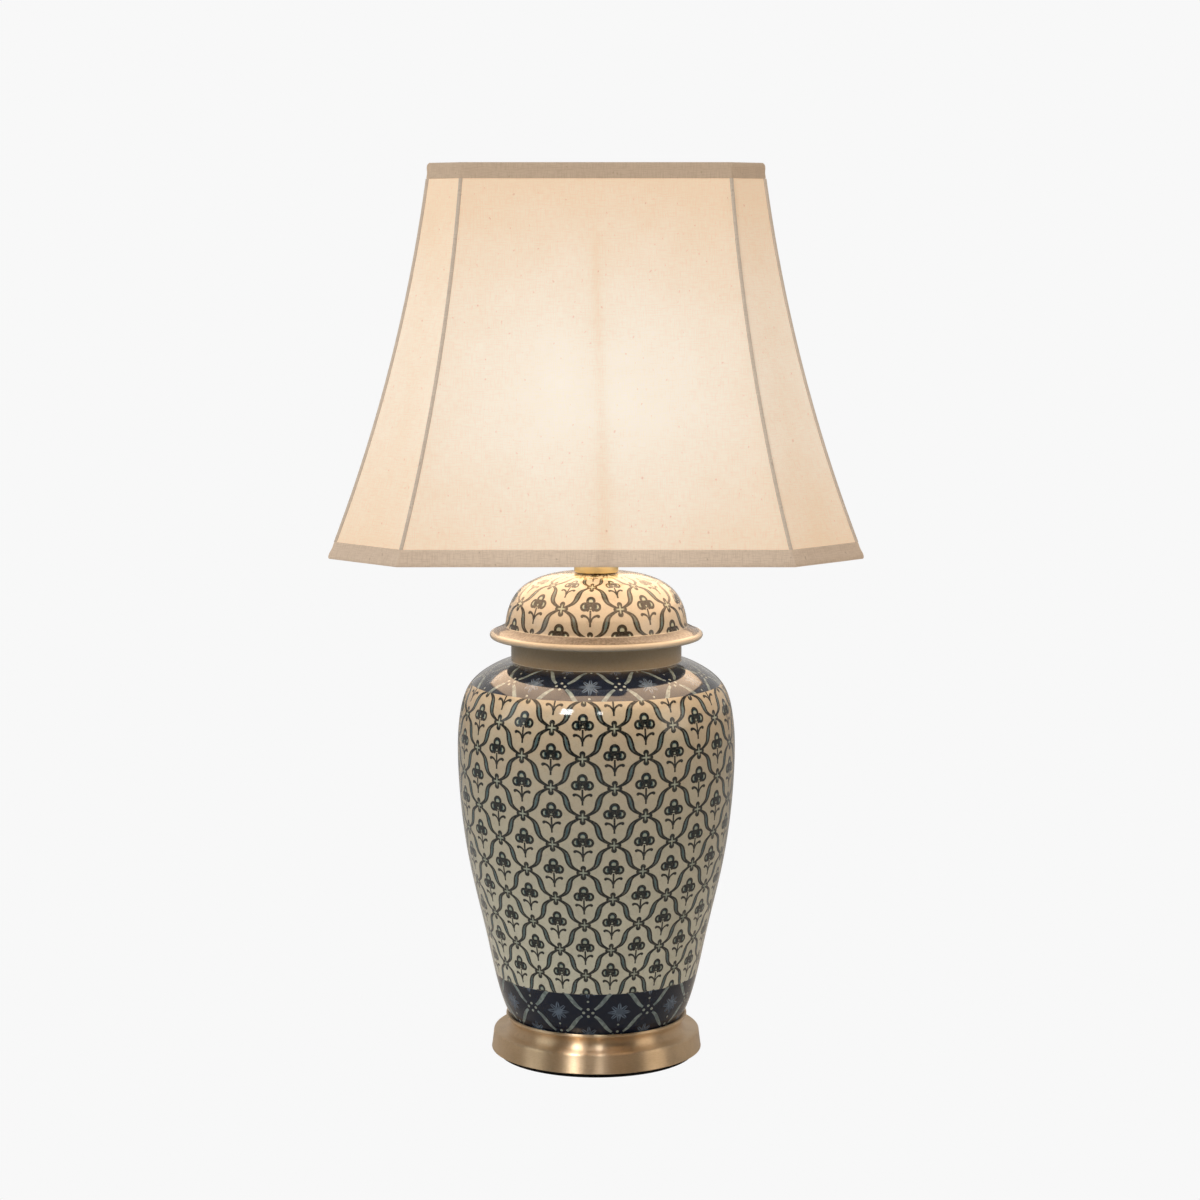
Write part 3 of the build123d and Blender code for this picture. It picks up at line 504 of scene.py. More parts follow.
def make_brushed(name: str) -> bpy.types.NodeTree:
    """Fine lines of a turned and brushed metal, running round the lamp's axis, and its tarnish.

    Args:
        name: The group's name.

    Returns:
        The group: a Place goes in, Grain, Tarnish and Height come out.
    """
    effect = Effect(name)
    place = effect.takes_place()
    x, y, z = place.parts()
    least_radius, run = 0.0005, 0.012
    radius = length(x, y).most(least_radius)
    inputs = (x / radius * run, y / radius * run, z + radius)
    spun = Signal.made(effect.tree, "CombineXYZ", inputs)
    grain = noise(spun, scale=2400.0, detail=3.0, rough=0.7)
    bands = noise(spun, scale=420.0)
    tarnish = noise(place, scale=26.0, detail=4.0, rough=0.65)
    return effect.gives(Grain=grain, Tarnish=tarnish, Height=grain * 0.7 + bands * 0.3)


def make_weave(name: str) -> bpy.types.NodeTree:
    """Plain weave of uneven threads with slubs and a few flecks.

    Args:
        name: The group's name.

    Returns:
        The group: a Place on the cloth in metres and Threads a metre go in; Thread, Slub, Fleck
        and Height come out.
    """
    effect = Effect(name)
    place, pitch = effect.takes_place(), effect.takes("Threads")

    def streaks(along: float, up: float, detail: float = 3.0, rough: float = 0.6) -> Signal:
        """Noise with its own number of lumps a metre along the cloth and up it."""
        return noise(place.vector("MULTIPLY", (along, up, 1.0)), 1.0, detail, rough)

    x, y, _ = place.parts()
    drift = noise(place, scale=60.0) * 0.9
    warp = (x * pitch * math.pi + drift).maths("SINE")
    weft = (y * pitch * math.pi + drift).maths("SINE")
    thread = warp * warp * 0.5 + weft * weft * 0.5
    upright, level = streaks(1300.0, 110.0), streaks(130.0, 1300.0)
    slub = upright.most(level) * 0.5 + (upright + level) * 0.25
    fleck = streaks(330.0, 260.0, detail=1.0, rough=0.5).ramp(0.70, 0.78)
    return effect.gives(Thread=thread, Slub=slub, Fleck=fleck, Height=thread * 0.45 + slub * 0.9)


def make_glow(name: str) -> bpy.types.NodeTree:
    """Light that the lit bulb throws on the shade, with the harp's soft shadow front and back.

    Args:
        name: The group's name.

    Returns:
        The group: a Place goes in, Light and Shadow come out, both from 0 to 1.
    """
    effect = Effect(name)
    x, y, z = effect.takes_place().parts()

    # The light fades round its brightest place in the middle of each side, slower downwards
    brightest_z, below, blunt, fall = 0.556, 0.85, 0.02, 7.1
    above = z - brightest_z
    up = above.most(above * -below)
    along = x.size().least(y.size())
    away = (up * up + along * along * 0.5 + blunt**2).maths("SQRT") - blunt
    light = (away * -fall + 1.0).most(0.0)

    # The harp's shadow: a soft line up the panel in a wider haze, gone near the top
    low, high = 0.42, 0.72
    middle, spread = z.ramp(low, high, 0.0065, -0.001), z.ramp(low, high, 0.006, 0.0028)
    off = (x - middle) / spread
    faces = y.size().ramp(0.11, 0.125) * z.ramp(0.64, 0.70, 1.0, 0.0)
    line = (off * off * -1.0).maths("EXPONENT") * 0.55
    haze = (off * off * -0.1).maths("EXPONENT") * 0.32
    return effect.gives(Light=light, Shadow=(line + haze) * faces)


def make_dust(name: str) -> bpy.types.NodeTree:
    """Cloudy wear and handling marks for plain materials.

    Args:
        name: The group's name.

    Returns:
        The group: a Place goes in, Cloud and Fine come out.
    """
    effect = Effect(name)
    place = effect.takes_place()
    fine = noise(place, scale=1400.0, detail=3.0, rough=0.6)
    return effect.gives(Cloud=noise(place, scale=55.0, detail=4.0, rough=0.6), Fine=fine)


EFFECT_MAKERS: dict[Effects, Callable[[str], bpy.types.NodeTree]] = {
    Effects.TRELLIS: make_trellis,
    Effects.STAR_BAND: make_star_band,
    Effects.CRACKLE: make_crackle,
    Effects.BRUSHED: make_brushed,
    Effects.WEAVE: make_weave,
    Effects.GLOW: make_glow,
    Effects.DUST: make_dust,
}


# --------------------------------------------------------------------------------------
# Finishes
# --------------------------------------------------------------------------------------


class Canvas:
    """A material in the making: its tree and its Principled shader."""

    def __init__(self, name: str) -> None:
        """Makes a material with one Principled shader.

        Args:
            name: The material's name.
        """
        self.material = bpy.data.materials.new(name)
        self.material.use_nodes = True
        self.tree = self.material.node_tree
        self.shader = self.tree.nodes["Principled BSDF"]

    def set(self, **values: "Signal | float | Colour") -> None:
        """Gives the shader's sockets their values, with underscores for spaces in their names."""
        for name, value in values.items():
            wire(self.tree, value, self.shader.inputs[name.replace("_", " ")])

    def place(self) -> Signal:
        """The surface's place in the lamp's frame, in metres."""
        return Signal.made(self.tree, "TexCoord", out="Object")

    def cloth(self) -> Signal:
        """The surface's place on its cloth, in metres, from the piece's own UV map."""
        return Signal.made(self.tree, "UVMap", uv_map=CLOTH_MAP)

    def attribute(self, name: str) -> Signal:
        """A number stored on the piece's points."""
        return Signal.made(self.tree, "Attribute", out="Fac", attribute_name=name)

    def bump(self, height: Signal, strength: float, depth: float) -> None:
        """Raises the surface: height is from 0 to 1, and depth is in metres at a height of 1."""
        inputs = {"Strength": strength, "Distance": depth, "Height": height}
        self.set(Normal=Signal.made(self.tree, "Bump", inputs))


@dataclass(frozen=True)
class Field:
    """A patterned zone of the porcelain: where it lies and how its cells are counted.

    Attributes:
        start: Where it starts up the outside of the piece, in millimetres.
        end: Where it ends.
        cells: Number of cells round the piece.
        first_column: Angle of a column from the front, in degrees.
        first_row: Where a row of crossings lies up the outside, in millimetres.
        pitch: Height of half a row, in millimetres.
        curve: How fast the rows draw together below that row.
        gloss: Weight of the clear coat over the zone.
    """

    start: float
    end: float
    cells: int
    first_column: float
    first_row: float
    pitch: float
    curve: float = 0.0
    gloss: float = 1.0

    def places(self, place: Signal, climb: Signal) -> tuple[Signal, Signal, Signal]:
        """Where a point lies in the zone.

        Args:
            place: The surface's place in the lamp's frame.
            climb: The way up the outside of the piece, in millimetres.

        Returns:
            Half cells across, half rows up, and a mask of the zone.
        """
        x, y, _ = place.parts()
        angle = x.maths("ARCTAN2", y * -1.0)
        across = angle * (self.cells / math.pi) - math.radians(self.first_column) * self.cells / math.pi
        up = climb - self.first_row
        rows = up / self.pitch - up * up * self.curve
        return across, rows, climb.between(self.start, self.end, soft=0.5)


@dataclass(frozen=True)
class Porcelain:
    """Crackle-glazed porcelain painted under the glaze in ink and wash."""

    name: str
    trellis: Field
    bands: tuple[Field, ...] = ()
    plain: Point = (323.0, 1000.0)
    plain_colour: Colour = srgb(177, 159, 133)
    glaze: Colour = srgb(212, 210, 191)
    # The glaze's colour at the top of the patterned zone: a painted shade that holds back the lamp's light
    # there
    glaze_shaded_top: Colour = srgb(178, 165, 143)
    glaze_deep: Colour = srgb(182, 179, 160)
    craze: Colour = srgb(120, 98, 70)
    ink: Colour = srgb(0, 13, 19)
    wash: Colour = srgb(66, 92, 96)
    wash_thin: Colour = srgb(90, 112, 114)
    pale: Colour = srgb(158, 164, 148)
    night: Colour = srgb(14, 25, 44)
    star: Colour = srgb(96, 112, 130)
    ribbon: Colour = srgb(134, 148, 146)
    bead: Colour = srgb(150, 158, 150)
    gloss: float = 0.35

    def material(self) -> bpy.types.Material:
        """Makes the material.

        Returns:
            The material.
        """
        canvas = Canvas(self.name)
        place, climb = canvas.place(), canvas.attribute(CLIMB)
        glaze = Effects.CRACKLE.on(canvas.tree, Place=place)
        # Painted shade: the glaze grows darker and warmer up the patterned zone, holding back the lamp's
        # light on the upper part
        wear_and_shade = climb.ramp(self.trellis.start, self.trellis.end).paint(self.glaze, self.glaze_shaded_top)
        colour = (glaze["Cloud"].ramp(0.35, 0.75) * 0.5).paint(wear_and_shade, self.glaze_deep)
        stain = noise(place, scale=420.0, detail=4.0, rough=0.7).ramp(0.3, 0.7)
        colour = (climb.between(*self.plain) * (stain * 0.3 + 0.7)).paint(colour, self.plain_colour)
        colour = (glaze["Lines"] * 0.16).paint(colour, self.craze)

        across, rows, zone = self.trellis.places(place, climb)
        drawing = Effects.TRELLIS.on(canvas.tree, Across=across, Rows=rows)
        strokes = noise(place, scale=900.0, detail=3.0, rough=0.6).ramp(0.3, 0.6, 0.86, 1.0)
        tone = noise(place, scale=240.0).ramp(0.35, 0.65)
        colour = (drawing["Wash"] * zone).paint(colour, tone.paint(self.wash, self.wash_thin))
        colour = (drawing["Ink"] * zone * strokes).paint(colour, self.ink)
        colour = (drawing["Pale"] * zone).paint(colour, self.pale)

        gloss = self.gloss
        for band in self.bands:
            across, rows, zone = band.places(place, climb)
            gloss = zone.ramp(0.0, 1.0, gloss, band.gloss)
            drawing = Effects.STAR_BAND.on(canvas.tree, Across=across, Rows=rows)
            night = (drawing["Star"] * tone.ramp(0.0, 1.0, 0.6, 1.0)).paint(self.night, self.star)
            night = (drawing["Ribbon"] * tone.ramp(0.0, 1.0, 1.0, 0.6)).paint(night, self.ribbon)
            night = drawing["Bead"].paint(night, self.bead)
            colour = zone.paint(colour, night)

        canvas.set(Base_Color=colour, Roughness=glaze["Cloud"].ramp(0.3, 0.7, 0.10, 0.16))
        canvas.set(IOR=1.5, Specular_IOR_Level=0.15)
        canvas.set(Coat_Weight=gloss, Coat_Roughness=0.05, Coat_IOR=1.68)
        canvas.bump(glaze["Cloud"] * 0.8 + glaze["Lines"] * -0.2, strength=0.25, depth=0.0006)
        return canvas.material


@dataclass(frozen=True)
class BrushedMetal:
    """Turned metal with fine brushing round the lamp's axis.

    Attributes:
        name: The material's name.
        colour: Its colour.
        deep: Its colour where it is tarnished.
        rough: Its roughness.
        stretch: How far its highlights are drawn out across the brushing.
        grain: How strongly the brushing stands out in relief.
    """

    name: str
    colour: Colour
    deep: Colour
    rough: float = 0.3
    stretch: float = 0.0
    grain: float = 0.1

    def material(self) -> bpy.types.Material:
        """Makes the material.

        Returns:
            The material.
        """
        canvas = Canvas(self.name)
        brushed = Effects.BRUSHED.on(canvas.tree, Place=canvas.place())
        tone = (brushed["Tarnish"] * 0.55 + brushed["Grain"] * 0.45).ramp(0.36, 0.64)
        rough = brushed["Grain"].ramp(0.3, 0.7, self.rough - 0.05, self.rough + 0.07)
        canvas.set(Base_Color=tone.paint(self.deep, self.colour), Roughness=rough)
        canvas.set(Metallic=1.0, Anisotropic=self.stretch)
        if self.stretch:
            tangent = Signal.made(canvas.tree, "Tangent", direction_type="RADIAL", axis="Z")
            canvas.set(Anisotropic_Rotation=0.25, Tangent=tangent)
        if self.grain:
            canvas.bump(brushed["Height"], self.grain, depth=0.0002)
        return canvas.material


class Weight(Enum):
    """How a cloth glows with the lamp's light: far from the bulb, nearest it, and how strongly."""

    COVER = ((0.45, 0.312, 0.205), (0.572, 0.551, 0.506), 1.0)
    LINING = ((0.99, 0.71, 0.48), (1.19, 0.89, 0.65), 2.05)
    DOUBLED = ((0.17, 0.115, 0.075), (0.42, 0.34, 0.26), 1.0)
    CORD = ((0.20, 0.16, 0.125), (0.27, 0.225, 0.18), 1.0)


@dataclass(frozen=True)
class Linen:
    """Slubby plain-weave cloth with the lit bulb behind it.

    Attributes:
        name: The material's name.
        thread: Colour of the even threads.
        shade: Colour of the slubs.
        weight: How it glows.
        threads: Threads a metre.
        relief: How strongly the weave stands out.
        fleck: Colour of the flecks.
        seen_share: Share of the lining's glow that the camera sees, so that it isn't burnt out.
    """

    name: str
    thread: Colour
    shade: Colour
    weight: Weight
    threads: float = 1300.0
    relief: float = 0.5
    fleck: Colour = srgb(120, 96, 70)
    seen_share: float = 0.1

    def material(self) -> bpy.types.Material:
        """Makes the material.

        Returns:
            The material.
        """
        canvas = Canvas(self.name)
        place = canvas.place()
        weave = Effects.WEAVE.on(canvas.tree, Place=canvas.cloth(), Threads=self.threads)
        slub = weave["Slub"].ramp(0.42, 0.66)
        woven = slub.paint(self.thread, self.shade)
        canvas.set(Base_Color=(weave["Fleck"] * 0.4).paint(woven, self.fleck))
        canvas.set(Roughness=0.92, Specular_IOR_Level=0.2, Sheen_Weight=0.12, Sheen_Roughness=0.5)

        lamp = Effects.GLOW.on(canvas.tree, Place=place)
        low, high, strength = self.weight.value
        cloud = noise(place, scale=38.0, detail=3.0).ramp(0.3, 0.7, -0.05, 0.05)
        light = lamp["Light"] + cloud - lamp["Shadow"] * 0.36 - slub * 0.10 - weave["Fleck"] * 0.16
        glow = light.paint(low, high)
        if self.weight is Weight.LINING:
            seen = Signal.made(canvas.tree, "LightPath", out="Is Camera Ray")
            dim, bright = (tuple(self.seen_share * v for v in colour) for colour in (low, high))
            glow = seen.paint(glow, light.paint(dim, bright))
        canvas.set(Emission_Color=glow, Emission_Strength=strength)
        canvas.bump(weave["Height"], self.relief, depth=0.0005)
        return canvas.material


class Surface(Enum):
    """How a plain material behaves: its metalness, roughness and grain."""

    RUBBER = (0.0, 0.85, 0.5)
    CAST = (0.6, 0.7, 0.9)
    MOULDED = (0.0, 0.42, 0.25)
    ENAMEL = (0.0, 0.35, 0.2)
    FIBRE = (0.0, 0.9, 0.7)
    SHEATH = (0.0, 0.4, 0.15)
    PLATED = (1.0, 0.28, 0.2)


@dataclass(frozen=True)
class Plain:
    """A plain material with cloudy wear and a fine grain."""

    name: str
    colour: Colour
    wear_and_shade: Colour
    surface: Surface

    def material(self) -> bpy.types.Material:
        """Makes the material.

        Returns:
            The material.
        """
        canvas = Canvas(self.name)
        dust = Effects.DUST.on(canvas.tree, Place=canvas.place())
        metal, rough, relief = self.surface.value
        canvas.set(Base_Color=dust["Cloud"].ramp(0.4, 0.68).paint(self.colour, self.wear_and_shade), Metallic=metal)
        canvas.set(Roughness=dust["Cloud"].ramp(0.3, 0.7, rough - 0.06, min(rough + 0.1, 1.0)))
        canvas.bump(dust["Fine"], relief, depth=0.0003)
        return canvas.material


@dataclass(frozen=True)
class LitGlass:
    """Frosted bulb glass with the lamp lit inside it."""

    name: str
    glass: Colour = srgb(130, 122, 106)
    glow: Colour = srgb(255, 236, 200)
    rim: Colour = srgb(255, 206, 140)
    strength: float = 1.2

    def material(self) -> bpy.types.Material:
        """Makes the material.

        Returns:
            The material.
        """
        canvas = Canvas(self.name)
        place = canvas.place()
        far = place.vector("DISTANCE", (0.0, 0.0, BULB_CENTRE * MM), "Value")
        frost = noise(place, scale=700.0, detail=3.0)
        glow = far.ramp(0.024, 0.052).paint(self.glow, self.rim)
        canvas.set(Emission_Color=glow, Emission_Strength=self.strength)
        canvas.set(Base_Color=self.glass, Roughness=frost.ramp(0.3, 0.7, 0.4, 0.55))
        canvas.bump(frost, strength=0.15, depth=0.0003)
        return canvas.material


# --------------------------------------------------------------------------------------
# Modelling by hand
# --------------------------------------------------------------------------------------


def spline(points: Sequence[Point], start: Point, end: Point, count: int) -> list[Point]:
    """Smooth curve through points, with a given direction at each end.

    Args:
        points: Points that the curve passes.
        start: Direction at the first point.
        end: Direction at the last point.
        count: Number of points wanted.

    Returns:
        Points along the curve, both ends included.
    """
    given = np.array(points, float)
    spans = np.linalg.norm(np.diff(given, axis=0), axis=1)
    knots = np.concatenate(([0.0], np.cumsum(spans)))
    last = len(given) - 1
    matrix, sides = np.eye(last + 1), np.zeros((last + 1, 2))
    sides[0] = np.array(start) / np.linalg.norm(start)
    sides[last] = np.array(end) / np.linalg.norm(end)
    for i in range(1, last):
        before, after = spans[i - 1], spans[i]
        matrix[i, i - 1 : i + 2] = after, 2 * (before + after), before
        rise = after * (given[i] - given[i - 1]) / before + before * (given[i + 1] - given[i]) / after
        sides[i] = 3 * rise
    slopes = np.linalg.solve(matrix, sides)
    curve = []
    for way in np.linspace(0, knots[-1], count):
        i = min(max(int(np.searchsorted(knots, way)) - 1, 0), last - 1)
        t, span = (way - knots[i]) / spans[i], spans[i]
        spot = (1 + 2 * t) * (1 - t) ** 2 * given[i] + t * (1 - t) ** 2 * span * slopes[i]
        spot += t * t * (3 - 2 * t) * given[i + 1] + t * t * (t - 1) * span * slopes[i + 1]
        curve.append((float(spot[0]), float(spot[1])))
    return curve


def arc(centre: Point, radius: float, start: float, end: float, count: int = 7) -> list[Point]:
    """Points on a circular arc between two angles in degrees, both ends included."""
    angles = np.radians(np.linspace(start, end, count))
    return [(centre[0] + radius * math.cos(a), centre[1] + radius * math.sin(a)) for a in angles]


def offset(points: Sequence[Point], distance: float) -> list[Point]:
    """A curve moved sideways, to the left of its run.

    Args:
        points: The curve.
        distance: How far it moves.

    Returns:
        The moved curve.
    """
    run = np.array(points, float)
    along = np.gradient(run, axis=0)
    along /= np.linalg.norm(along, axis=1)[:, None]
    moved = run + distance * np.stack((-along[:, 1], along[:, 0]), axis=1)
    return [(float(r), float(z)) for r, z in moved]


def ripple(turned: float, z: float) -> float:
    """How far folded cloth waves in and out.

    Args:
        turned: Share of the way round the shade.
        z: Height in millimetres.

    Returns:
        The wave, from -1 to 1.
    """
    slow, quick, lean, shift = 23, 41, 0.2, 1.3
    angle = turned * 2 * math.pi
    return (math.sin(angle * slow + z * lean) + math.sin(angle * quick + shift)) / 2


def set_down() -> None:
    """Leaves edit mode and deselects everything."""
    if bpy.context.object is not None and bpy.context.object.mode != "OBJECT":
        bpy.ops.object.mode_set(mode="OBJECT")
    bpy.ops.object.select_all(action="DESELECT")


def pick_up(piece: bpy.types.Object) -> None:
    """Selects one piece alone and makes it the active one.

    Args:
        piece: The piece.
    """
    set_down()
    piece.select_set(True)
    bpy.context.view_layer.objects.active = piece


def open_up() -> None:
    """Enters edit mode on the active piece with all of it selected."""
    bpy.ops.object.mode_set(mode="EDIT")
    bpy.ops.mesh.select_all(action="SELECT")


def copy_of(piece: bpy.types.Object) -> bpy.types.Object:
    """Copies a piece, with a mesh of its own.

    Args:
        piece: The piece.

    Returns:
        The copy, left selected and active.
    """
    pick_up(piece)
    bpy.ops.object.duplicate()
    return bpy.context.object


def fix_place() -> None:
    """Moves the active piece's place, turn and size into its mesh."""
    bpy.ops.object.transform_apply(location=True, rotation=True, scale=True)


def extrude_to(step: Iterable[float]) -> None:
    """Extrudes what is selected by a step in metres."""
    bpy.ops.mesh.extrude_region_move(TRANSFORM_OT_translate={"value": tuple(step)})


def close_up() -> None:
    """Merges doubles and points every face outwards."""
    bpy.ops.mesh.select_all(action="SELECT")
    bpy.ops.mesh.remove_doubles(threshold=2e-6)
    bpy.ops.mesh.normals_make_consistent(inside=False)


def smooth_by_angle(piece: bpy.types.Object, degrees: float) -> None:
    """Shades a piece smooth, with its sharper edges kept."""
    pick_up(piece)
    bpy.ops.object.shade_smooth_by_angle(angle=math.radians(degrees))


def turn(name: str, outline: Sequence[Point], steps: int = 144, smooth: float = 40.0) -> bpy.types.Object:
    """Draws an outline in the XZ plane and spins it about the lamp's axis, as on a lathe.

    Args:
        name: The piece's name.
        outline: Radius and height in millimetres; a ring where the last point is the first.
        steps: Facets round the piece.
        smooth: Edges sharper than this many degrees stay sharp.

    Returns:
        The piece.
    """
    set_down()
    bpy.ops.mesh.primitive_plane_add(size=MM)
    piece = bpy.context.object
    piece.name = piece.data.name = name
    open_up()
    bpy.ops.mesh.merge(type="CENTER")
    bpy.ops.transform.translate(value=(outline[0][0] * MM, 0, outline[0][1] * MM))
    for (r0, z0), (r1, z1) in zip(outline, outline[1:]):
        extrude_to(((r1 - r0) * MM, 0, (z1 - z0) * MM))
    bpy.ops.mesh.select_all(action="SELECT")
    bpy.ops.mesh.spin(steps=steps, angle=2 * math.pi, center=(0, 0, 0), axis=(0, 0, 1))
    close_up()
    smooth_by_angle(piece, smooth)
    return piece


def drill(piece: bpy.types.Object, radius: float, centre: Spot, depth: float) -> None:
    """Bores a round hole along Y through a piece.

    Args:
        piece: The piece.
        radius: The hole's radius in millimetres.
        centre: Middle of the bore, in millimetres.
        depth: The bore's length in millimetres.
    """
    set_down()
    bpy.ops.mesh.primitive_cylinder_add(
        vertices=48,
        radius=radius * MM,
        depth=depth * MM,
        location=tuple(v * MM for v in centre),
        rotation=(math.pi / 2, 0, 0),
    )
    bit = bpy.context.object
    pick_up(piece)
    cut = piece.modifiers.new("Bore", "BOOLEAN")
    cut.operation, cut.object, cut.solver = "DIFFERENCE", bit, "EXACT"
    bpy.ops.object.modifier_apply(modifier=cut.name)
    bpy.data.objects.remove(bit)


def mark_climb(piece: bpy.types.Object, outline: Sequence[Point], reach: float = 1.0) -> None:
    """Stores how far up an outline each point of a turned piece lies, in millimetres.

    Args:
        piece: The piece.
        outline: The outside of the piece, from its foot up, in millimetres.
        reach: Points further from the outline than this aren't on the outside.
    """
    run = np.array(outline, float)
    way = np.concatenate(([0.0], np.cumsum(np.linalg.norm(np.diff(run, axis=0), axis=1))))
    place = np.array([v.co for v in piece.data.vertices], float) / MM
    flat = np.stack((np.hypot(place[:, 0], place[:, 1]), place[:, 2]), axis=1)
    far = np.linalg.norm(flat[:, None, :] - run[None, :, :], axis=2)
    nearest = far.argmin(axis=1)
    climb = np.where(far[np.arange(len(flat)), nearest] < reach, way[nearest], OFF_THE_RUN)
    layer = piece.data.attributes.new(CLIMB, "FLOAT", "POINT")
    layer.data.foreach_set("value", climb.astype(np.float32))


def settle(
    piece: bpy.types.Object,
    body: str,
    material: bpy.types.Material,
    stands_for: Sequence[str],
) -> None:
    """Dresses a finished piece and sets it on its body.

    Args:
        piece: The piece.
        body: The CAD body it rides on.
        material: Its material.
        stands_for: CAD nodes that it replaces.
    """
    piece.data.materials.clear()
    piece.data.materials.append(material)
    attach(piece, body)
    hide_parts(*stands_for)
    log.info("%s: %d faces, rides on %s", piece.name, len(piece.data.polygons), body)


# --------------------------------------------------------------------------------------
# Sub-assemblies
# --------------------------------------------------------------------------------------


@dataclass
class Plinth:
    """Stepped plinth of spun brass; its rubber pad is the frame's own."""

    foot_z: float = 4.0
    foot_radius: float = 86.6
    foot_flare: float = 0.25
    foot_flare_height: float = 1.4
    foot_round: float = 0.6
    wall_radius: float = 84.8
    ledge_z: float = 20.2
    edge_round: float = 2.2
    cove_radius: float = 71.0
    cove_spread: float = 4.8
    rim_radius: float = 74.6
    rim_z: float = 33.0
    rim_height: float = 2.0
    rim_round: float = 0.5
    rim_under: float = 0.35
    rim_chamfer: float = 0.3
    seat_radius: float = 72.6
    seat_z: float = 30.8
    sheet: float = 1.6
    inner_chamfer: float = 1.0
    outlet_radius: float = 5.25
    outlet_centre: Spot = (0.0, 85.0, 11.6)
    outlet_depth: float = 30.0
    smooth: float = 35.0
    brass: BrushedMetal = BrushedMetal(
        "Brushed brass", srgb(226, 200, 166), srgb(206, 178, 142), rough=0.4, stretch=1.0, grain=0.0
    )

    def outline(self) -> list[Point]:
        """The section of the plinth's wall.

        Returns:
            The section's outline, from the pipe's hole round and back.
        """
        rim, ledge, foot = self.rim_z, self.ledge_z, self.foot_z
        cove = spline(
            [
                (self.rim_radius, rim - self.rim_height),
                (self.cove_radius, (rim + ledge) / 2),
                (self.cove_radius + self.cove_spread, ledge),
            ],
            start=(-1.0, -0.7),
            end=(1.0, -0.15),
            count=26,
        )
        under, foot_edge = self.rim_under, (self.foot_radius - self.foot_round, foot + self.foot_round)
        edge = (self.wall_radius - self.edge_round, ledge - self.edge_round)
        inner_wall, inner_ledge = self.wall_radius - self.sheet, ledge - self.sheet
        inner_cove, inner_seat = self.cove_radius - self.sheet, self.seat_z - self.sheet
        return [
            (PIPE_HOLE, self.seat_z),
            (self.seat_radius, self.seat_z),
            (self.seat_radius, rim - self.rim_chamfer),
            (self.seat_radius + self.rim_chamfer, rim),
            *arc((self.rim_radius - self.rim_round, rim - self.rim_round), self.rim_round, 90, 0, 5),
            *arc((self.rim_radius - under, rim - self.rim_height + under), under, 0, -60, 4),
            *cove[1:],
            *arc(edge, self.edge_round, 90, 4, 9),
            (self.foot_radius - self.foot_flare, foot + self.foot_flare_height),
            *arc(foot_edge, self.foot_round, 20, -90, 6),
            (self.foot_radius - self.sheet, foot),
            (inner_wall, inner_ledge - self.inner_chamfer),
            (inner_wall - self.inner_chamfer, inner_ledge),
            (inner_cove, inner_ledge),
            (inner_cove, inner_seat),
            (PIPE_HOLE, inner_seat),
            (PIPE_HOLE, self.seat_z),
        ]

    def build(self) -> None:
        """Turns the plinth, bores the cord's outlet and dresses it."""
        piece = turn("plinth", self.outline(), steps=180, smooth=self.smooth)
        drill(piece, self.outlet_radius, self.outlet_centre, self.outlet_depth)
        smooth_by_angle(piece, self.smooth)
        settle(piece, "base", self.brass.material(), ["plinth_shell"])


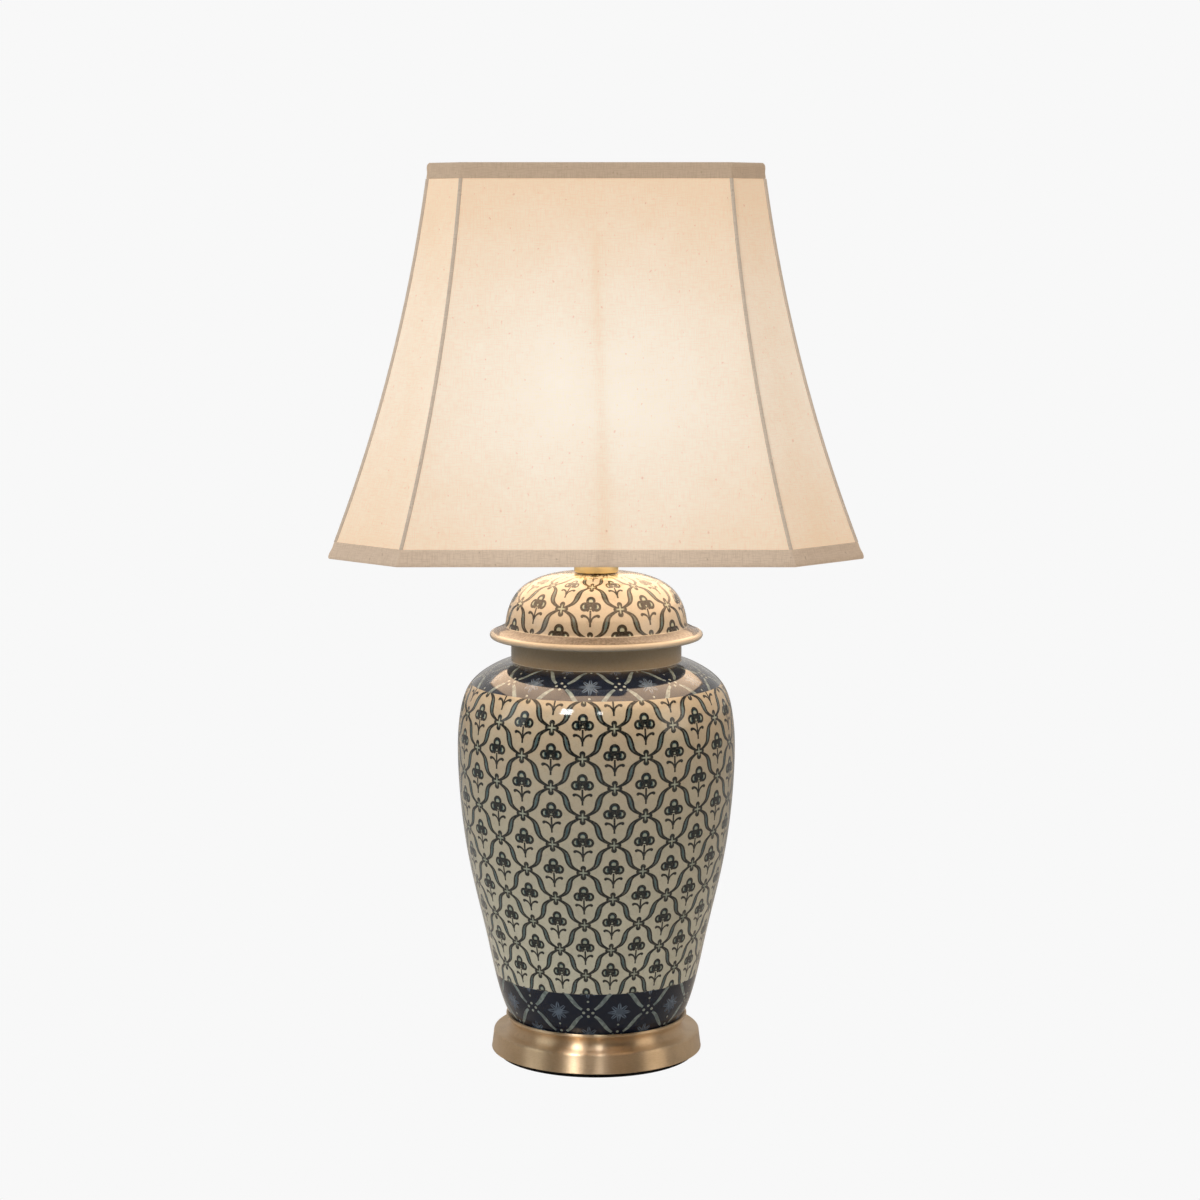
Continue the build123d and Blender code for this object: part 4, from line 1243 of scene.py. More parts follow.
@dataclass
class GingerJar:
    """The painted porcelain jar and its domed lid.

    The heights in outline are counted from the jar's foot, those in dome from its rim.
    """

    foot_z: float = 31.8
    rim_z: float = 345.8
    outline: tuple[Point, ...] = (
        (71.2, 0.0),
        (80.4, 24.0),
        (90.6, 69.0),
        (103.4, 125.0),
        (111.8, 186.0),
        (113.3, 214.0),
        (111.2, 253.0),
        (103.0, 276.0),
        (86.0, 289.5),
        (70.4, 295.5),
    )
    wall: float = 5.0
    neck_radius: float = 69.5
    neck_root: float = 0.9
    rim_round: float = 1.2
    rim_inner_round: float = 1.0
    foot_ring: float = 10.0
    foot_chamfer: float = 0.6
    foot_edge: float = 0.5
    floor_z: float = 42.8
    floor_thick: float = 7.0
    floor_corner: float = 2.0
    lip_radius: float = 86.8
    lip_thick: float = 5.2
    dome: tuple[Point, ...] = (
        (74.6, 10.0),
        (73.4, 16.0),
        (70.6, 26.5),
        (62.0, 39.6),
        (49.4, 47.4),
        (30.0, 52.2),
        (13.0, 53.0),
    )
    lid_wall: float = 4.6
    lid_ring_gap: float = 0.8
    lid_ring_depth: float = 8.0
    lid_chamfer: float = 0.6
    lid_flare: float = 0.8
    smooth: float = 50.0
    jar_paint: Porcelain = Porcelain(
        "Painted porcelain jar",
        Field(39.5, 284.5, cells=14, first_column=7.4, first_row=262.4, pitch=23.77, curve=7.87e-6),
        (
            Field(-5.0, 39.5, cells=10, first_column=-4.6, first_row=22.6, pitch=22.0, gloss=0.25),
            Field(284.5, 322.0, cells=12, first_column=12.0, first_row=299.6, pitch=24.0),
        ),
    )
    # Painted shade and reflection: the lid's glaze is a darker copy of the jar's, against the lamp's
    # strong light on it, and its ink and wash are lighter and browner, as the lit shade reflects in its
    # gloss
    lid_paint: Porcelain = Porcelain(
        "Painted porcelain lid",
        Field(19.2, 300.0, cells=9, first_column=16.2, first_row=41.3, pitch=24.5),
        plain=(8.6, 18.8),
        plain_colour=srgb(95, 87, 80),
        glaze=srgb(180, 172, 157),
        glaze_shaded_top=srgb(174, 170, 158),
        glaze_deep=srgb(164, 157, 144),
        ink=srgb(44, 40, 34),
        wash=srgb(88, 90, 82),
    )

    def wall_run(self) -> list[Point]:
        """The jar's outside, from its foot to the root of its neck."""
        raised = [(r, z + self.foot_z) for r, z in self.outline]
        return spline(raised, start=(0.55, 1.0), end=(-1.0, 0.2), count=120)

    def build_jar(self) -> None:
        """Throws the jar: foot ring, swelling wall, upright neck, inside and floor."""
        outer = self.wall_run()
        root_z, rim_z, floor_z = outer[-1][1], self.rim_z, self.floor_z
        root, lip, inner_lip = self.neck_root, self.rim_round, self.rim_inner_round
        neck_inner = self.neck_radius - self.wall
        neck = [
            *arc((self.neck_radius + root, root_z + root), root, 250, 180, 5),
            *arc((self.neck_radius - lip, rim_z - lip), lip, 0, 90, 6),
        ]
        rim = arc((neck_inner + inner_lip, rim_z - inner_lip), inner_lip, 90, 180, 5)
        least_z, least_radius = floor_z + self.wall, neck_inner + self.wall / 2
        inner = [(r, z) for r, z in offset(outer[::4], self.wall) if z > least_z and r > least_radius]
        foot_radius = self.outline[0][0]
        ring_inner = foot_radius - self.foot_ring
        base = [
            (inner[0][0] - self.floor_corner, floor_z),
            (PIPE_HOLE, floor_z),
            (PIPE_HOLE, floor_z - self.floor_thick),
            (ring_inner, floor_z - self.floor_thick),
            (ring_inner, self.foot_z + self.foot_chamfer),
            (ring_inner + self.foot_chamfer, self.foot_z),
            (foot_radius - self.foot_edge, self.foot_z),
            outer[0],
        ]
        section = [*outer, *neck, *rim, (neck_inner, root_z - self.wall), *inner[::-1], *base]
        piece = turn("ginger_jar", section, steps=168, smooth=self.smooth)
        mark_climb(piece, [*outer, *neck])
        settle(piece, "base", self.jar_paint.material(), ["jar_body"])

    def build_lid(self) -> None:
        """Throws the lid: locating ring, rounded lip, flange and dome."""
        rim, round_lip = self.rim_z, self.lip_thick / 2
        dome = spline([(r, z + rim) for r, z in self.dome], start=(-0.35, 1.0), end=(-1.0, 0.0), count=64)
        lip = arc((self.lip_radius - round_lip, rim + round_lip), round_lip, -90, 90, 13)
        inner_foot, inner_top = rim + self.dome[0][1], 8.0
        inner = [(r, z) for r, z in offset(dome[::3], self.lid_wall) if z > inner_foot and r > inner_top]
        top_z, ring_z, chamfer = dome[-1][1], rim - self.lid_ring_depth, self.lid_chamfer
        ring_outer = self.neck_radius - self.wall - self.lid_ring_gap
        ring_inner = ring_outer - self.lid_wall
        outline = [
            (PIPE_HOLE, top_z),
            *dome[::-1],
            *lip[::-1],
            (ring_outer, rim),
            (ring_outer, ring_z + chamfer),
            (ring_outer - chamfer, ring_z),
            (ring_inner + chamfer, ring_z),
            (ring_inner, ring_z + chamfer),
            (ring_inner + self.lid_flare, rim + self.lid_wall),
            *inner,
            (PIPE_HOLE, top_z - self.lid_wall),
            (PIPE_HOLE, top_z),
        ]
        piece = turn("jar_lid_dome", outline, smooth=self.smooth)
        mark_climb(piece, [*lip, *dome])
        settle(piece, "base", self.lid_paint.material(), ["jar_lid"])

    def build(self) -> None:
        """Throws the jar, then its lid."""
        self.build_jar()
        self.build_lid()


@dataclass
class Stem:
    """What stands on the lid: brass cap, lit bulb and finial; the rest is the frame's own.

    The heights in the finial's three outlines are counted from its foot.
    """

    cap_z: Point = (399.6, 408.2)
    cap_radius: float = 18.0
    cap_round: float = 1.0
    bulb_radius: float = 30.0
    bulb_neck: float = 12.3
    bulb_flare: float = 14.0
    bulb_neck_z: float = 474.5
    neck_reach: float = 5.0
    glass: float = 0.8
    finial_z: float = 699.1
    finial_bore: float = 3.15
    finial_bore_depth: float = 11.5
    finial_outline: tuple[Point, ...] = ((5.0, 0.0), (5.2, 0.3), (5.2, 1.9), (4.9, 2.3))
    finial_ball: tuple[Point, ...] = ((4.2, 2.7), (6.5, 7.7), (2.4, 13.0))
    finial_top: tuple[Point, ...] = ((1.2, 13.7), (0.0, 14.0))
    # The cap's brass is painted much brighter than the other brass: painted light, standing in for the
    # lamp's light on the cap
    lamp_lit_brass: BrushedMetal = BrushedMetal(
        "Cap brass painted lamp-lit", srgb(255, 236, 178), srgb(250, 222, 160), rough=0.34, stretch=0.4, grain=0.06
    )
    polished: BrushedMetal = BrushedMetal(
        "Finial brass", srgb(206, 170, 112), srgb(180, 142, 88), rough=0.2, grain=0.05
    )

    def build_cap(self) -> None:
        """Turns the cap that clamps the lid."""
        low, high = self.cap_z
        edge = self.cap_round
        outline = [
            (PIPE_HOLE, low),
            *arc((self.cap_radius - edge, low + edge), edge, -90, 0, 6),
            *arc((self.cap_radius - edge, high - edge), edge, 0, 90, 6),
            (PIPE_HOLE, high),
            (PIPE_HOLE, low),
        ]
        piece = turn("cap", outline, steps=96)
        settle(piece, "base", self.lamp_lit_brass.material(), ["brass_cap"])

    def build_bulb(self) -> None:
        """Blows the frosted envelope."""
        centre, radius, neck_z = (0.0, BULB_CENTRE), self.bulb_radius, self.bulb_neck_z
        (joint,) = arc(centre, radius, -28, -28, 1)
        flare_foot = (self.bulb_flare, neck_z + self.neck_reach)
        flare = spline([flare_foot, joint], start=(0.15, 1.0), end=(0.47, 0.88), count=14)
        neck = [(self.bulb_neck, neck_z - self.neck_reach), (self.bulb_neck, neck_z)]
        outer = [*neck, *flare, *arc(centre, radius, -24, 89, 34)]
        top_z = BULB_CENTRE + radius
        least_radius = 0.5
        inner = [(r, z) for r, z in offset(outer, self.glass) if r > least_radius]
        outline = [*outer, (0.0, top_z), (0.0, top_z - self.glass), *inner[::-1], outer[0]]
        piece = turn("bulb_envelope", outline, steps=72)
        piece.visible_shadow = False
        settle(piece, "bulb", LitGlass("Lit frosted glass").material(), ["bulb_glass"])

    def build_finial(self) -> None:
        """Turns the finial: collar, groove and ball."""
        ball = spline(self.finial_ball, start=(0.6, 1.0), end=(-1.0, 0.5), count=22)
        bore = [(0.0, self.finial_bore_depth), (self.finial_bore, self.finial_bore_depth)]
        foot = (self.finial_bore, 0.0)
        outline = [foot, *self.finial_outline, *ball, *self.finial_top, *bore, foot]
        piece = turn("finial_knob", [(r, z + self.finial_z) for r, z in outline], steps=64)
        settle(piece, "finial", self.polished.material(), ["finial"])

    def build(self) -> None:
        """Makes the cap, the bulb and the finial."""
        self.build_cap()
        self.build_bulb()
        self.build_finial()


@dataclass
class Shade:
    """Cut-corner bell shade: linen cover, lining, two folded trims and piping on the seams.

    Panels are counted from the back one, at +Y, towards -X: flat sides are even, cut corners odd.
    An inset is a distance inwards from the cover's outer face. Each point of a trim's section is
    an inset and a distance: from the trim's free edge in trim_outer, and from the shade's edge,
    where the trim folds over, in the other two.
    """

    panels: int = 8
    top_z: float = 726.0
    height: float = 299.0
    top_half: float = 127.0
    bottom_half: float = 203.2
    sag: float = 9.6
    top_cut: float = 25.8
    bottom_cut: float = 55.0
    corner_sag: float = 11.5
    spare: float = 25.0
    overhang: float = 1.0
    cover_thick: float = 1.0
    top_trim: float = 12.0
    bottom_trim: float = 12.5
    trim_fold: float = 2.4
    trim_wave: float = 0.22
    trim_outer: tuple[Point, ...] = (
        (-0.15, 0.0),
        (-0.75, 0.15),
        (-1.05, 0.9),
        (-1.0, 2.4),
        (-0.95, 4.0),
        (-1.15, 5.6),
        (-1.5, 7.2),
        (-1.7, 8.6),
        (-1.6, 9.9),
    )
    trim_outer_edge: tuple[Point, ...] = ((-1.25, 1.2), (-0.75, 0.45), (-0.1, 0.0), (1.3, 0.0))
    trim_inner_edge: tuple[Point, ...] = ((0.02, 1.5), (0.02, 1.2), (0.02, 0.96), (1.3, 0.96))
    cord_radius: float = 1.5
    lining_inset: float = 4.8
    lining_thick: float = 0.8
    lining_slit: float = 2.0
    slit_depth: float = 9.0
    wide_columns: int = 24
    corner_columns: int = 8
    cover_levels: int = 64
    lining_levels: int = 48
    cord_levels: int = 30
    cover_cloth: Linen = Linen("Shade linen", srgb(208, 192, 170), srgb(198, 181, 158), Weight.COVER)
    lining_cloth: Linen = Linen(
        "Shade lining", srgb(216, 211, 202), srgb(208, 202, 192), Weight.LINING, threads=1900.0, relief=0.2
    )
    trim_cloth: Linen = Linen(
        "Trim linen", srgb(186, 168, 148), srgb(170, 152, 132), Weight.DOUBLED, threads=1150.0
    )
    # A lighter copy of the trim linen for the lower trim: painted light, for the lamp's light on the hem
    lit_hem_cloth: Linen = Linen("Hem linen painted lighter", srgb(204, 187, 169), srgb(188, 170, 152), Weight.DOUBLED)
    cord_cloth: Linen = Linen(
        "Piping linen", srgb(186, 172, 156), srgb(168, 154, 138), Weight.CORD, threads=1500.0, relief=0.4
    )

    @property
    def bottom_z(self) -> float:
        """Height of the shade's lower edge."""
        return self.top_z - self.height

    def bell(self, top: float, bottom: float, sag: float, z: float) -> float:
        """Distance of a face from the axis at a height, before it is drawn as an arc."""
        share = (self.top_z - z) / self.height
        return top + (bottom - top) * share - 4 * sag * share * (1 - share)

    def face(self, top: float, bottom: float, sag: float, z: float) -> float:
        """Distance of a face at a height, on the arc through the bell's ends and middle.

        Args:
            top: Its distance at the top.
            bottom: Its distance at the bottom.
            sag: How far its middle is drawn in.
            z: The height.

        Returns:
            The distance from the axis.
        """
        low, high = self.bottom_z - self.spare, self.top_z + self.spare
        levels = (low, (low + high) / 2, high)
        (x0, y0), (x1, y1), (x2, y2) = [(self.bell(top, bottom, sag, v), v) for v in levels]
        matrix = np.array([[x1 - x0, y1 - y0], [x2 - x0, y2 - y0]]) * 2
        sides = np.array([x1**2 - x0**2 + y1**2 - y0**2, x2**2 - x0**2 + y2**2 - y0**2])
        cx, cy = np.linalg.solve(matrix, sides)
        radius = math.hypot(x0 - cx, y0 - cy)
        return float(cx - math.sqrt(radius**2 - (z - cy) ** 2))

    def side(self, z: float) -> float:
        """Distance of the flat sides."""
        return self.face(self.top_half, self.bottom_half, self.sag, z)

    def corner(self, z: float) -> float:
        """Distance of the cut corners."""
        halves = ((self.top_half, self.top_cut), (self.bottom_half, self.bottom_cut))
        return self.face(*(math.sqrt(2) * (half - cut / 2) for half, cut in halves), self.corner_sag, z)

    def seam(self, z: float, inset: float) -> Point:
        """Where a flat side meets a cut corner at a height."""
        side = self.side(z) - inset
        return math.sqrt(2) * (self.corner(z) - inset) - side, side

    def shares(self, slit: float) -> list[tuple[int, float]]:
        """Columns round the shade: each panel's number and a place from -1 to 1 across it.

        Args:
            slit: Half width of a slit in the middle of each side, as a share of half the side.

        Returns:
            The columns in order, each panel's last one left to the next panel.
        """
        wide = [float(v) for v in np.linspace(-1, 1, self.wide_columns + 1)[:-1]]
        if slit:
            wide = sorted({v for v in wide if abs(v) > slit} | {-slit, slit})
        cut = [float(v) for v in np.linspace(-1, 1, self.corner_columns + 1)[:-1]]
        return [(panel, v) for panel in range(self.panels) for v in (cut if panel % 2 else wide)]

    def spot(self, panel: int, share: float, z: float, inset: float) -> Point:
        """A point on the shade's plan.

        Args:
            panel: The panel's number.
            share: Place across the panel, from -1 to 1.
            z: Height in millimetres.
            inset: The point's inset.

        Returns:
            Its x and y in millimetres.
        """
        along, out = self.seam(z, inset)
        corners = [(along, out), (-along, out), (-out, along)]
        start, end = corners[panel % 2], corners[panel % 2 + 1]
        t = (share + 1) / 2
        x, y = start[0] + (end[0] - start[0]) * t, start[1] + (end[1] - start[1]) * t
        for _ in range(panel // 2):
            x, y = -y, x
        return x, y

    def half_width(self, panel: int, z: float, inset: float) -> float:
        """Half the width of a panel at a height."""
        along, out = self.seam(z, inset)
        return (out - along) / math.sqrt(2) if panel % 2 else along

    def cloth(
        self,
        name: str,
        outer: Sequence[Point],
        inner: Sequence[Point],
        slit: float = 0.0,
        slit_level: int = 0,
        wave: float = 0.0,
    ) -> bpy.types.Object:
        """Makes a band of cloth round the shade from its outer and inner section.

        Args:
            name: The piece's name.
            outer: Inset and height of the outer face, from one edge to the other, in millimetres.
            inner: The same for the inner face, as many points.
            slit: Half width of the slits, as a share of half a side.
            slit_level: Number of the level from which the slits run to the top.
            wave: How far the outer face waves in and out, in millimetres.

        Returns:
            The piece, with its place on the cloth in its UV map.
        """
        columns = self.shares(slit)
        count, levels = len(columns), len(outer)
        rows = [*outer, *inner]
        points = []
        for row, (inset, z) in enumerate(rows):
            waving = wave if 0 < row < levels - 1 else 0.0
            for number, (panel, share) in enumerate(columns):
                pushed = inset - waving * ripple(number / count, z)
                points.append((*self.spot(panel, share, z, pushed), z))
        faces, panels = [], []

        def add(corners: Sequence[tuple[int, int]], panel: int) -> None:
            """Adds a face from its rows and columns."""
            faces.append([row * count + column % count for row, column in corners])
            panels.append([(rows[row], column, panel) for row, column in corners])

        for column, (panel, share) in enumerate(columns):
            after = column + 1
            open_here = bool(slit) and panel % 2 == 0 and abs(share + slit) < 1e-9
            top = slit_level if open_here else levels - 1
            for row in range(top):
                add([(row, column), (row, after), (row + 1, after), (row + 1, column)], panel)
                low, high = levels + row, levels + row + 1
                add([(low, column), (high, column), (high, after), (low, after)], panel)
            add([(0, column), (levels, column), (levels, after), (0, after)], panel)
            add([(top, column), (top, after), (levels + top, after), (levels + top, column)], panel)
            if open_here:
                for row in range(top, levels - 1):
                    back, back_up = levels + row, levels + row + 1
                    add([(row, column), (back, column), (back_up, column), (row + 1, column)], panel)
                    add([(row, after), (row + 1, after), (back_up, after), (back, after)], panel)

        mesh = bpy.data.meshes.new(name)
        mesh.from_pydata([tuple(v * MM for v in p) for p in points], [], faces)
        layer = mesh.uv_layers.new(name=CLOTH_MAP)
        where = [spot for face in panels for spot in face]
        ends = [columns[c % count][1] if columns[c % count][0] == p else 1.0 for _, c, p in where]
        across, up = 1.0, 0.37  # metres that each panel's cloth lies from the last one's
        for loop, ((inset, z), _, panel), share in zip(layer.data, where, ends):
            u = share * self.half_width(panel, z, inset) * MM
            loop.uv = (u + across * panel, z * MM + up * panel)
        piece = bpy.data.objects.new(name, mesh)
        bpy.context.scene.collection.objects.link(piece)
        pick_up(piece)
        open_up()
        bpy.ops.mesh.normals_make_consistent(inside=False)
        smooth_by_angle(piece, degrees=30.0)
        return piece

    def flat(self, low: float, high: float, inset: float) -> tuple[Point, float]:
        """Size of the cloth before it was sewn, with its panels laid side by side.

        Args:
            low: Height of its lower edge, in millimetres.
            high: Height of its upper edge.
            inset: How far it lies inside the cover.

        Returns:
            The flat piece's width and length and its area, in metres.
        """
        levels = np.linspace(low, high, 25)
        pairs = [self.half_width(0, z, inset) + self.half_width(1, z, inset) for z in levels]
        rounds = [self.panels * pair for pair in pairs]
        slope = [math.hypot(self.side(a) - self.side(b), b - a) for a, b in zip(levels, levels[1:])]
        area = sum(s * (a + b) / 2 for s, a, b in zip(slope, rounds, rounds[1:]))
        return (rounds[0] * MM, sum(slope) * MM), area * MM * MM

    def build_cover(self) -> None:
        """Sews the linen cover."""
        low, high = self.bottom_z + self.overhang, self.top_z - self.overhang
        levels = [float(z) for z in np.linspace(low, high, self.cover_levels)]
        outer, inner = ([(inset, z) for z in levels] for inset in (0.0, self.cover_thick))
        piece = self.cloth("shade_linen", outer, inner)
        settle(piece, "shade", self.cover_cloth.material(), ["shade_cover"])
        size, area = self.flat(low, high, 0.0)

    def build_lining(self) -> None:
        """Sews the lining, slit at the top for the spider's arms."""
        low, high, inset = self.bottom_z + self.overhang, self.top_z - self.overhang, self.lining_inset
        levels = [float(z) for z in np.linspace(low, self.top_z - self.slit_depth, self.lining_levels)]
        slit, slit_level = self.lining_slit / self.half_width(0, high, inset), len(levels) - 1
        levels += [(levels[-1] + high) / 2, high]
        outer, inner = ([(i, z) for z in levels] for i in (inset, inset + self.lining_thick))
        piece = self.cloth("shade_lining_cloth", outer, inner, slit, slit_level)
        settle(piece, "shade", self.lining_cloth.material(), ["shade_lining"])
        size, area = self.flat(low, high, inset)

    def build_trim(self, name: str, edge: float, width: float, up: int, node: str) -> None:
        """Folds a trim over an edge of the shade.

        Args:
            name: The piece's name.
            edge: Height of the shade's edge, in millimetres.
            width: The trim's width.
            up: 1 for the top edge and -1 for the bottom one.
            node: The CAD node it stands for.
        """
        face = [(inset, width - in_from_free) for inset, in_from_free in self.trim_outer]
        back = [(self.trim_inner_edge[0][0], down) for _, down in face]
        sections = ([*face, *self.trim_outer_edge], [*back, *self.trim_inner_edge])
        run = [[(inset, edge - up * down) for inset, down in section] for section in sections]
        piece = self.cloth(name, *run, wave=self.trim_wave)
        # The lower trim wears the copy of the trim linen painted lighter, standing in for the lamp's light
        # on it
        cloth = self.trim_cloth if up > 0 else self.lit_hem_cloth
        settle(piece, "shade", cloth.material(), [node])
        low, high = sorted((edge, edge - up * width))
        (length_round, _), _ = self.flat(low, high, 0.0)

    def build_piping(self) -> None:
        """Covers the eight seams with cord, modelled once, then mirrored and turned."""
        low, high = self.bottom_z + self.bottom_trim, self.top_z - self.top_trim
        levels = [float(z) for z in np.linspace(low, high, self.cord_levels)]
        path = [(*self.seam(z, 0.0), z) for z in levels]
        set_down()
        bpy.ops.mesh.primitive_circle_add(vertices=14, radius=self.cord_radius * MM, fill_type="NGON")
        cord = bpy.context.object
        cord.name = cord.data.name = "piping"
        open_up()
        bpy.ops.transform.translate(value=tuple(v * MM for v in path[0]))
        for start, end in zip(path, path[1:]):
            extrude_to((e - s) * MM for s, e in zip(start, end))
        close_up()
        set_down()
        self.map_cord(cord)
        twin = copy_of(cord)
        bpy.ops.transform.resize(value=(-1, 1, 1), center_override=(0, 0, 0))
        fix_place()
        cords = [cord, twin]
        for quarter in range(1, 4):
            for source in (cord, twin):
                cords.append(copy_of(source))
                cords[-1].rotation_euler = (0, 0, quarter * math.pi / 2)
                fix_place()
        for piece in cords:
            piece.select_set(True)
        bpy.context.view_layer.objects.active = cord
        bpy.ops.object.join()
        open_up()
        close_up()
        smooth_by_angle(cord, degrees=50.0)
        settle(cord, "shade", self.cord_cloth.material(), ["shade_piping"])

    def map_cord(self, cord: bpy.types.Object) -> None:
        """Lays the cord's cloth round it: round the cord one way, up the seam the other.

        Args:
            cord: The first cord.
        """
        layer = cord.data.uv_layers.new(name=CLOTH_MAP)
        for polygon in cord.data.polygons:
            for loop in polygon.loop_indices:
                x, y, z = cord.data.vertices[cord.data.loops[loop].vertex_index].co / MM
                along, out = self.seam(z, 0.0)
                around = math.atan2(y - out, x - along)
                layer.data[loop].uv = (around * self.cord_radius * MM, z * MM)

    def build(self) -> None:
        """Builds every part of the shade that the frame leaves to cloth."""
        self.build_cover()
        self.build_lining()
        self.build_trim("trim_top", self.top_z, self.top_trim, 1, "shade_trim_top")
        self.build_trim("trim_bottom", self.bottom_z, self.bottom_trim, -1, "shade_trim_bottom")
        self.build_piping()


@dataclass
class Fittings:
    """Finishes of the frame's own pieces, each with the CAD nodes that wear it."""

    finishes: tuple[tuple[Plain | BrushedMetal, tuple[str, ...]], ...] = (
        (Plain("Pad rubber", srgb(22, 21, 20), srgb(40, 38, 36), Surface.RUBBER), ("base_pad",)),
        (Plain("Cast ballast", srgb(52, 52, 54), srgb(78, 66, 56), Surface.CAST), ("ballast",)),
        (
            Plain("Black moulding", srgb(28, 27, 26), srgb(44, 42, 40), Surface.MOULDED),
            ("cord_bush", "holder_block", "terminal_block"),
        ),
        (Plain("Gasket rubber", srgb(58, 52, 44), srgb(78, 70, 58), Surface.RUBBER), ("jar_gasket",)),
        (Plain("Cap gasket", srgb(176, 140, 96), srgb(150, 116, 76), Surface.FIBRE), ("cap_gasket",)),
        (
            Plain("Zinc plate", srgb(186, 186, 180), srgb(150, 148, 140), Surface.PLATED),
            ("lamp_pipe", "lower_washer", "lower_nut"),
        ),
        (Plain("Lead sheath", srgb(216, 208, 186), srgb(196, 186, 160), Surface.SHEATH), ("inner_leads",)),
        (
            Plain("Sleeve fibre", srgb(176, 146, 104), srgb(150, 120, 82), Surface.FIBRE),
            ("holder_sleeve",),
        ),
        (
            Plain("Frame enamel", srgb(232, 226, 212), srgb(206, 196, 176), Surface.ENAMEL),
            ("spider_hub", "spider_arms", "shade_top_ring", "shade_bottom_ring", "shade_ribs"),
        ),
        (
            BrushedMetal("Harp brass", srgb(204, 170, 116), srgb(172, 138, 88), rough=0.24, grain=0.05),
            ("harp_saddle", "harp_wire", "harp_crown", "ferrule_front", "ferrule_back"),
        ),
        (
            BrushedMetal("Lampholder brass", srgb(216, 184, 126), srgb(190, 154, 98), 0.18, 0.3, 0.06),
            ("holder_cap", "holder_shell", "switch_key"),
        ),
        (
            BrushedMetal("Terminal brass", srgb(208, 172, 104), srgb(176, 140, 80)),
            ("terminal_screws", "terminal_lugs", "centre_contact"),
        ),
        (
            BrushedMetal("Screw shell", srgb(214, 212, 204), srgb(180, 178, 170), rough=0.26),
            ("screw_shell", "bulb_base", "bulb_tip"),
        ),
    )

    def dress(self, nodes: dict[str, bpy.types.Object]) -> None:
        """Paints the frame's pieces.

        Args:
            nodes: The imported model's nodes by name.
        """
        for finish, names in self.finishes:
            material = finish.material()
            for name in names:
                nodes[name].data.materials.clear()
                nodes[name].data.materials.append(material)
            log.info("%s on %s", material.name, ", ".join(names))


# --------------------------------------------------------------------------------------
# Studio
# --------------------------------------------------------------------------------------


def mixed(mask: Signal, under: bpy.types.Node, over: bpy.types.Node) -> bpy.types.Node:
    """Mixes two shaders: the first shows where the mask is 0, the second where it is 1."""
    shaders = [Signal(mask.tree, node.outputs[0]) for node in (under, over)]
    return add_node(mask.tree, "MixShader", (mask, *shaders))


def hang(data: bpy.types.Light | bpy.types.Camera, location: Spot, rotation: Spot) -> bpy.types.Object:
    """Puts a light or a camera in the scene.

    Args:
        data: The light or the camera.
        location: Its place in metres.
        rotation: Its turn about X, Y and Z in radians.

    Returns:
        Its object.
    """
    hung = bpy.data.objects.new(data.name, data)
    hung.location = location
    hung.rotation_euler = rotation
    bpy.context.scene.collection.objects.link(hung)
    return hung


@dataclass(frozen=True)
class Softbox:
    """A soft light that faces the jar.

    Attributes:
        name: The light's name.
        azimuth: Degrees round from the front, towards the camera's right.
        height: Its height in metres.
        away: Its distance from the lamp's axis in metres.
        size: Its width and height in metres.
        watts: Its power.
        tint: Its colour.
        sheen_only: Whether it shows in the highlights alone.
    """

    name: str
    azimuth: float
    height: float
    away: float
    size: Point
    watts: float
    tint: Colour = (1.0, 0.995, 0.985)
    sheen_only: bool = False

    def build(self, aim_height: float) -> None:
        """Hangs the light.

        Args:
            aim_height: Height on the lamp's axis that it faces, in metres.
        """
        data = bpy.data.lights.new(self.name, "AREA")
        data.shape, data.size, data.size_y = "RECTANGLE", *self.size
        data.energy, data.color = self.watts, self.tint
        round_to = math.radians(self.azimuth)
        place = (self.away * math.sin(round_to), -self.away * math.cos(round_to), self.height)
        light = hang(data, place, (math.atan2(self.away, self.height - aim_height), 0, round_to))
        light.visible_diffuse = not self.sheen_only
        light.visible_camera = False


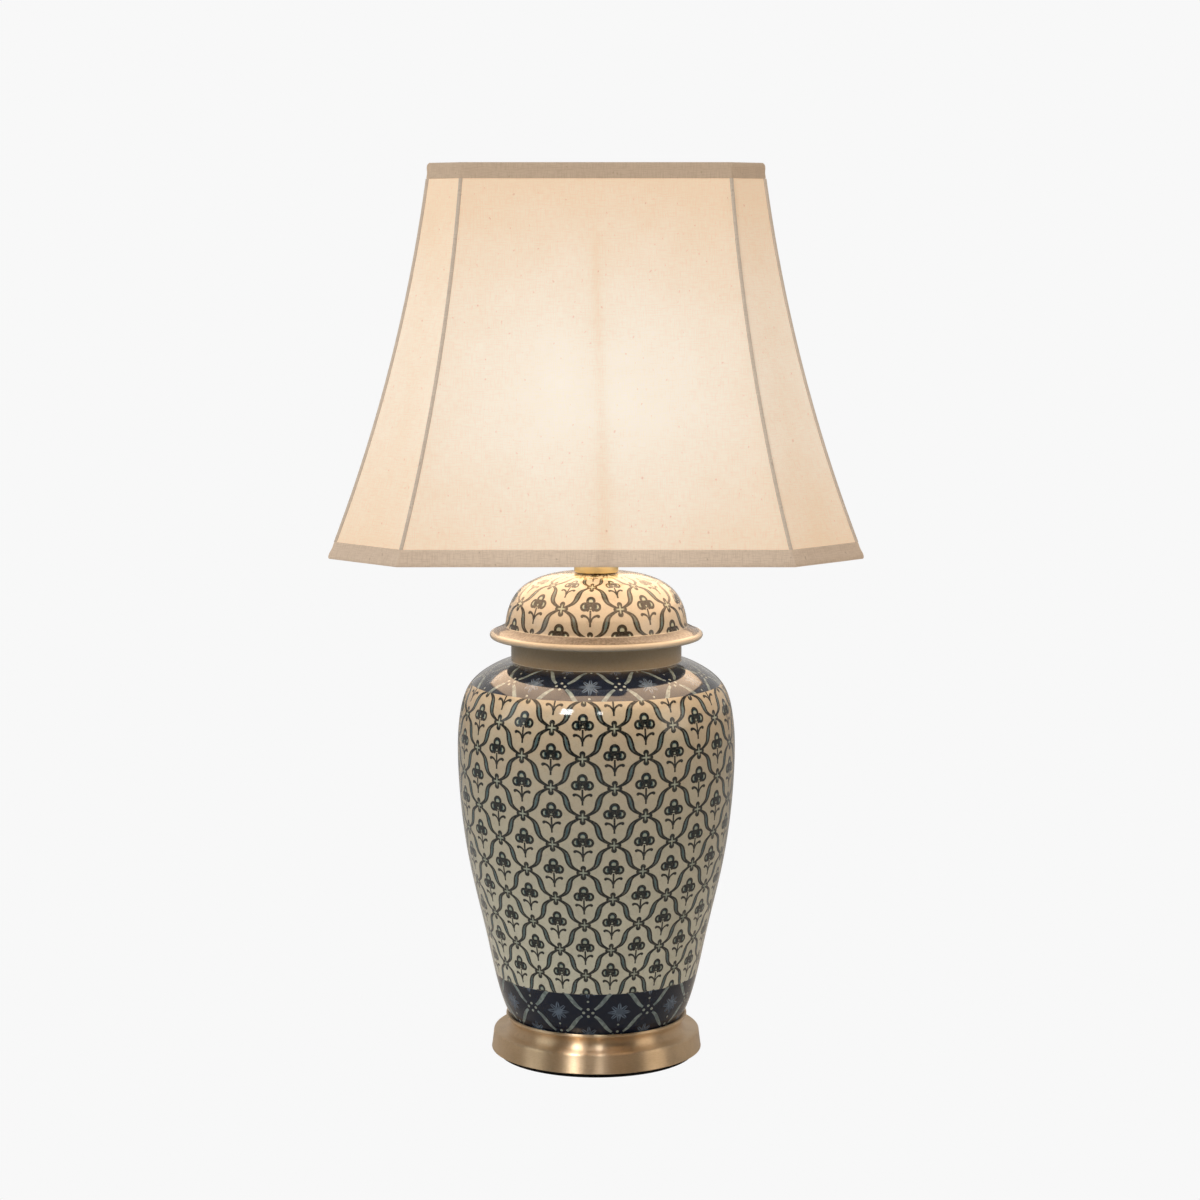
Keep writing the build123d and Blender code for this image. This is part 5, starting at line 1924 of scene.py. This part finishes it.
@dataclass
class Studio:
    """Pale floor and backdrop, soft lights, the bulb's light and the camera.

    Places and sizes are in metres, the lens and its sensor in millimetres, the pitch in degrees.
    """

    lens: float = 87.0
    sensor: float = 36.0
    pitch: float = 7.37
    eye: Spot = (0.003, -2.341, 0.679)
    backdrop: Colour = srgb(248, 248, 248)
    sky: Colour = (1.0, 0.955, 0.90)
    front_light: float = 0.06
    back_light: float = 0.54
    bulb_watts: float = 0.05
    bulb_tint: Colour = (1.0, 0.8, 0.56)
    bulb_size: float = 0.022
    floor_radius: float = 30.0
    floor_opening: float = 0.078
    floor_colour: Colour = (0.62, 0.615, 0.605)
    aim_height: float = 0.3
    softboxes: tuple[Softbox, ...] = (
        Softbox("key_left", -28.2, 1.75, 1.95, (0.38, 0.5), 18.0),
        Softbox("key_sheen", -39.0, 2.3, 1.2, (0.16, 0.4), 13.0, (0.88, 0.96, 1.1), sheen_only=True),
        Softbox("key_front", 4.0, 1.9, 2.2, (0.16, 0.28), 3.8),
        Softbox("front_sheen", 6.0, 2.3, 1.2, (0.10, 0.3), 5.0, (0.88, 0.96, 1.1), sheen_only=True),
        Softbox("fill_left", -75.0, 1.3, 2.4, (1.2, 1.4), 8.0, (0.94, 1.0, 1.0)),
        Softbox("fill_right", 70.0, 1.2, 2.5, (1.2, 1.4), 11.5, (1.0, 0.9, 0.77)),
        Softbox("rim_back", 180.0, 2.2, 2.2, (1.4, 1.0), 8.0),
    )

    def build_world(self) -> None:
        """Backdrop that the camera sees as pale; the lamp gets most of its light from behind."""
        world = bpy.data.worlds.new("Studio")
        bpy.context.scene.world = world
        world.use_nodes = True
        tree = world.node_tree
        tree.nodes.clear()
        behind = Signal.made(tree, "TexCoord", out="Generated").parts()[1]
        strength = behind.ramp(-0.7, 0.7, self.front_light, self.back_light)
        cast = add_node(tree, "Background", {0: self.sky, 1: strength})
        seen = add_node(tree, "Background", {0: self.backdrop})
        camera_sees = Signal.made(tree, "LightPath", out="Is Camera Ray")
        light = mixed(camera_sees, cast, seen)
        add_node(tree, "OutputWorld", (Signal(tree, light.outputs[0]),))

    def build_floor(self) -> None:
        """Plain pale floor, as bright to the camera as the backdrop, open under the pad."""
        set_down()
        bpy.ops.mesh.primitive_circle_add(vertices=96, radius=self.floor_radius, fill_type="NOTHING")
        floor = bpy.context.object
        floor.name = "floor"
        open_up()
        bpy.ops.mesh.extrude_edges_move()
        share = self.floor_opening / self.floor_radius
        bpy.ops.transform.resize(value=(share, share, 1.0), center_override=(0, 0, 0))
        bpy.ops.mesh.select_all(action="SELECT")
        bpy.ops.mesh.normals_make_consistent(inside=False)
        set_down()
        if floor.data.polygons[0].normal.z < 0:
            open_up()
            bpy.ops.mesh.flip_normals()
            set_down()
        floor.data.materials.append(self.floor_material())

    def floor_material(self) -> bpy.types.Material:
        """The floor's finish, which can be seen through from below, to show the lamp's underside.

        Returns:
            The material.
        """
        canvas = Canvas("Pale floor")
        tree = canvas.tree
        canvas.set(Base_Color=self.floor_colour, Roughness=0.9)
        glow, clear = add_node(tree, "Emission", {0: self.backdrop}), add_node(tree, "BsdfTransparent")
        camera_sees = Signal.made(tree, "LightPath", out="Is Camera Ray")
        from_below = Signal.made(tree, "NewGeometry", out="Backfacing")
        above = mixed(camera_sees, canvas.shader, glow)
        both = mixed(from_below, above, clear)
        tree.links.new(both.outputs[0], tree.nodes["Material Output"].inputs[0])
        return canvas.material

    def build_lights(self) -> None:
        """Two lights in front with a sheen each, a fill on each side, one behind, and the lit bulb."""
        for softbox in self.softboxes:
            softbox.build(self.aim_height)
        data = bpy.data.lights.new("bulb_light", "POINT")
        data.energy, data.shadow_soft_size, data.color = self.bulb_watts, self.bulb_size, self.bulb_tint
        hang(data, (0.0, 0.0, BULB_CENTRE * MM), (0.0, 0.0, 0.0))

    def build_camera(self) -> None:
        """Camera at the photograph's viewing angle."""
        data = bpy.data.cameras.new("view")
        data.lens, data.sensor_width = self.lens, self.sensor
        bpy.context.scene.camera = hang(data, self.eye, (math.radians(90 - self.pitch), 0, 0))

    def build(self) -> None:
        """Sets up the whole studio."""
        bpy.context.scene.view_settings.view_transform = "Standard"
        self.build_world()
        self.build_floor()
        self.build_lights()
        self.build_camera()


def main() -> None:
    """Builds the lamp's looks round the frame, in order."""
    logging.basicConfig(level=logging.INFO, format="%(name)s: %(message)s")
    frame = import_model()
    for assembly in (Plinth(), GingerJar(), Stem(), Shade()):
        assembly.build()
    Fittings().dress(frame["nodes"])
    Studio().build()
    set_down()
    log.info("finished")


if __name__ == "__main__":
    main()
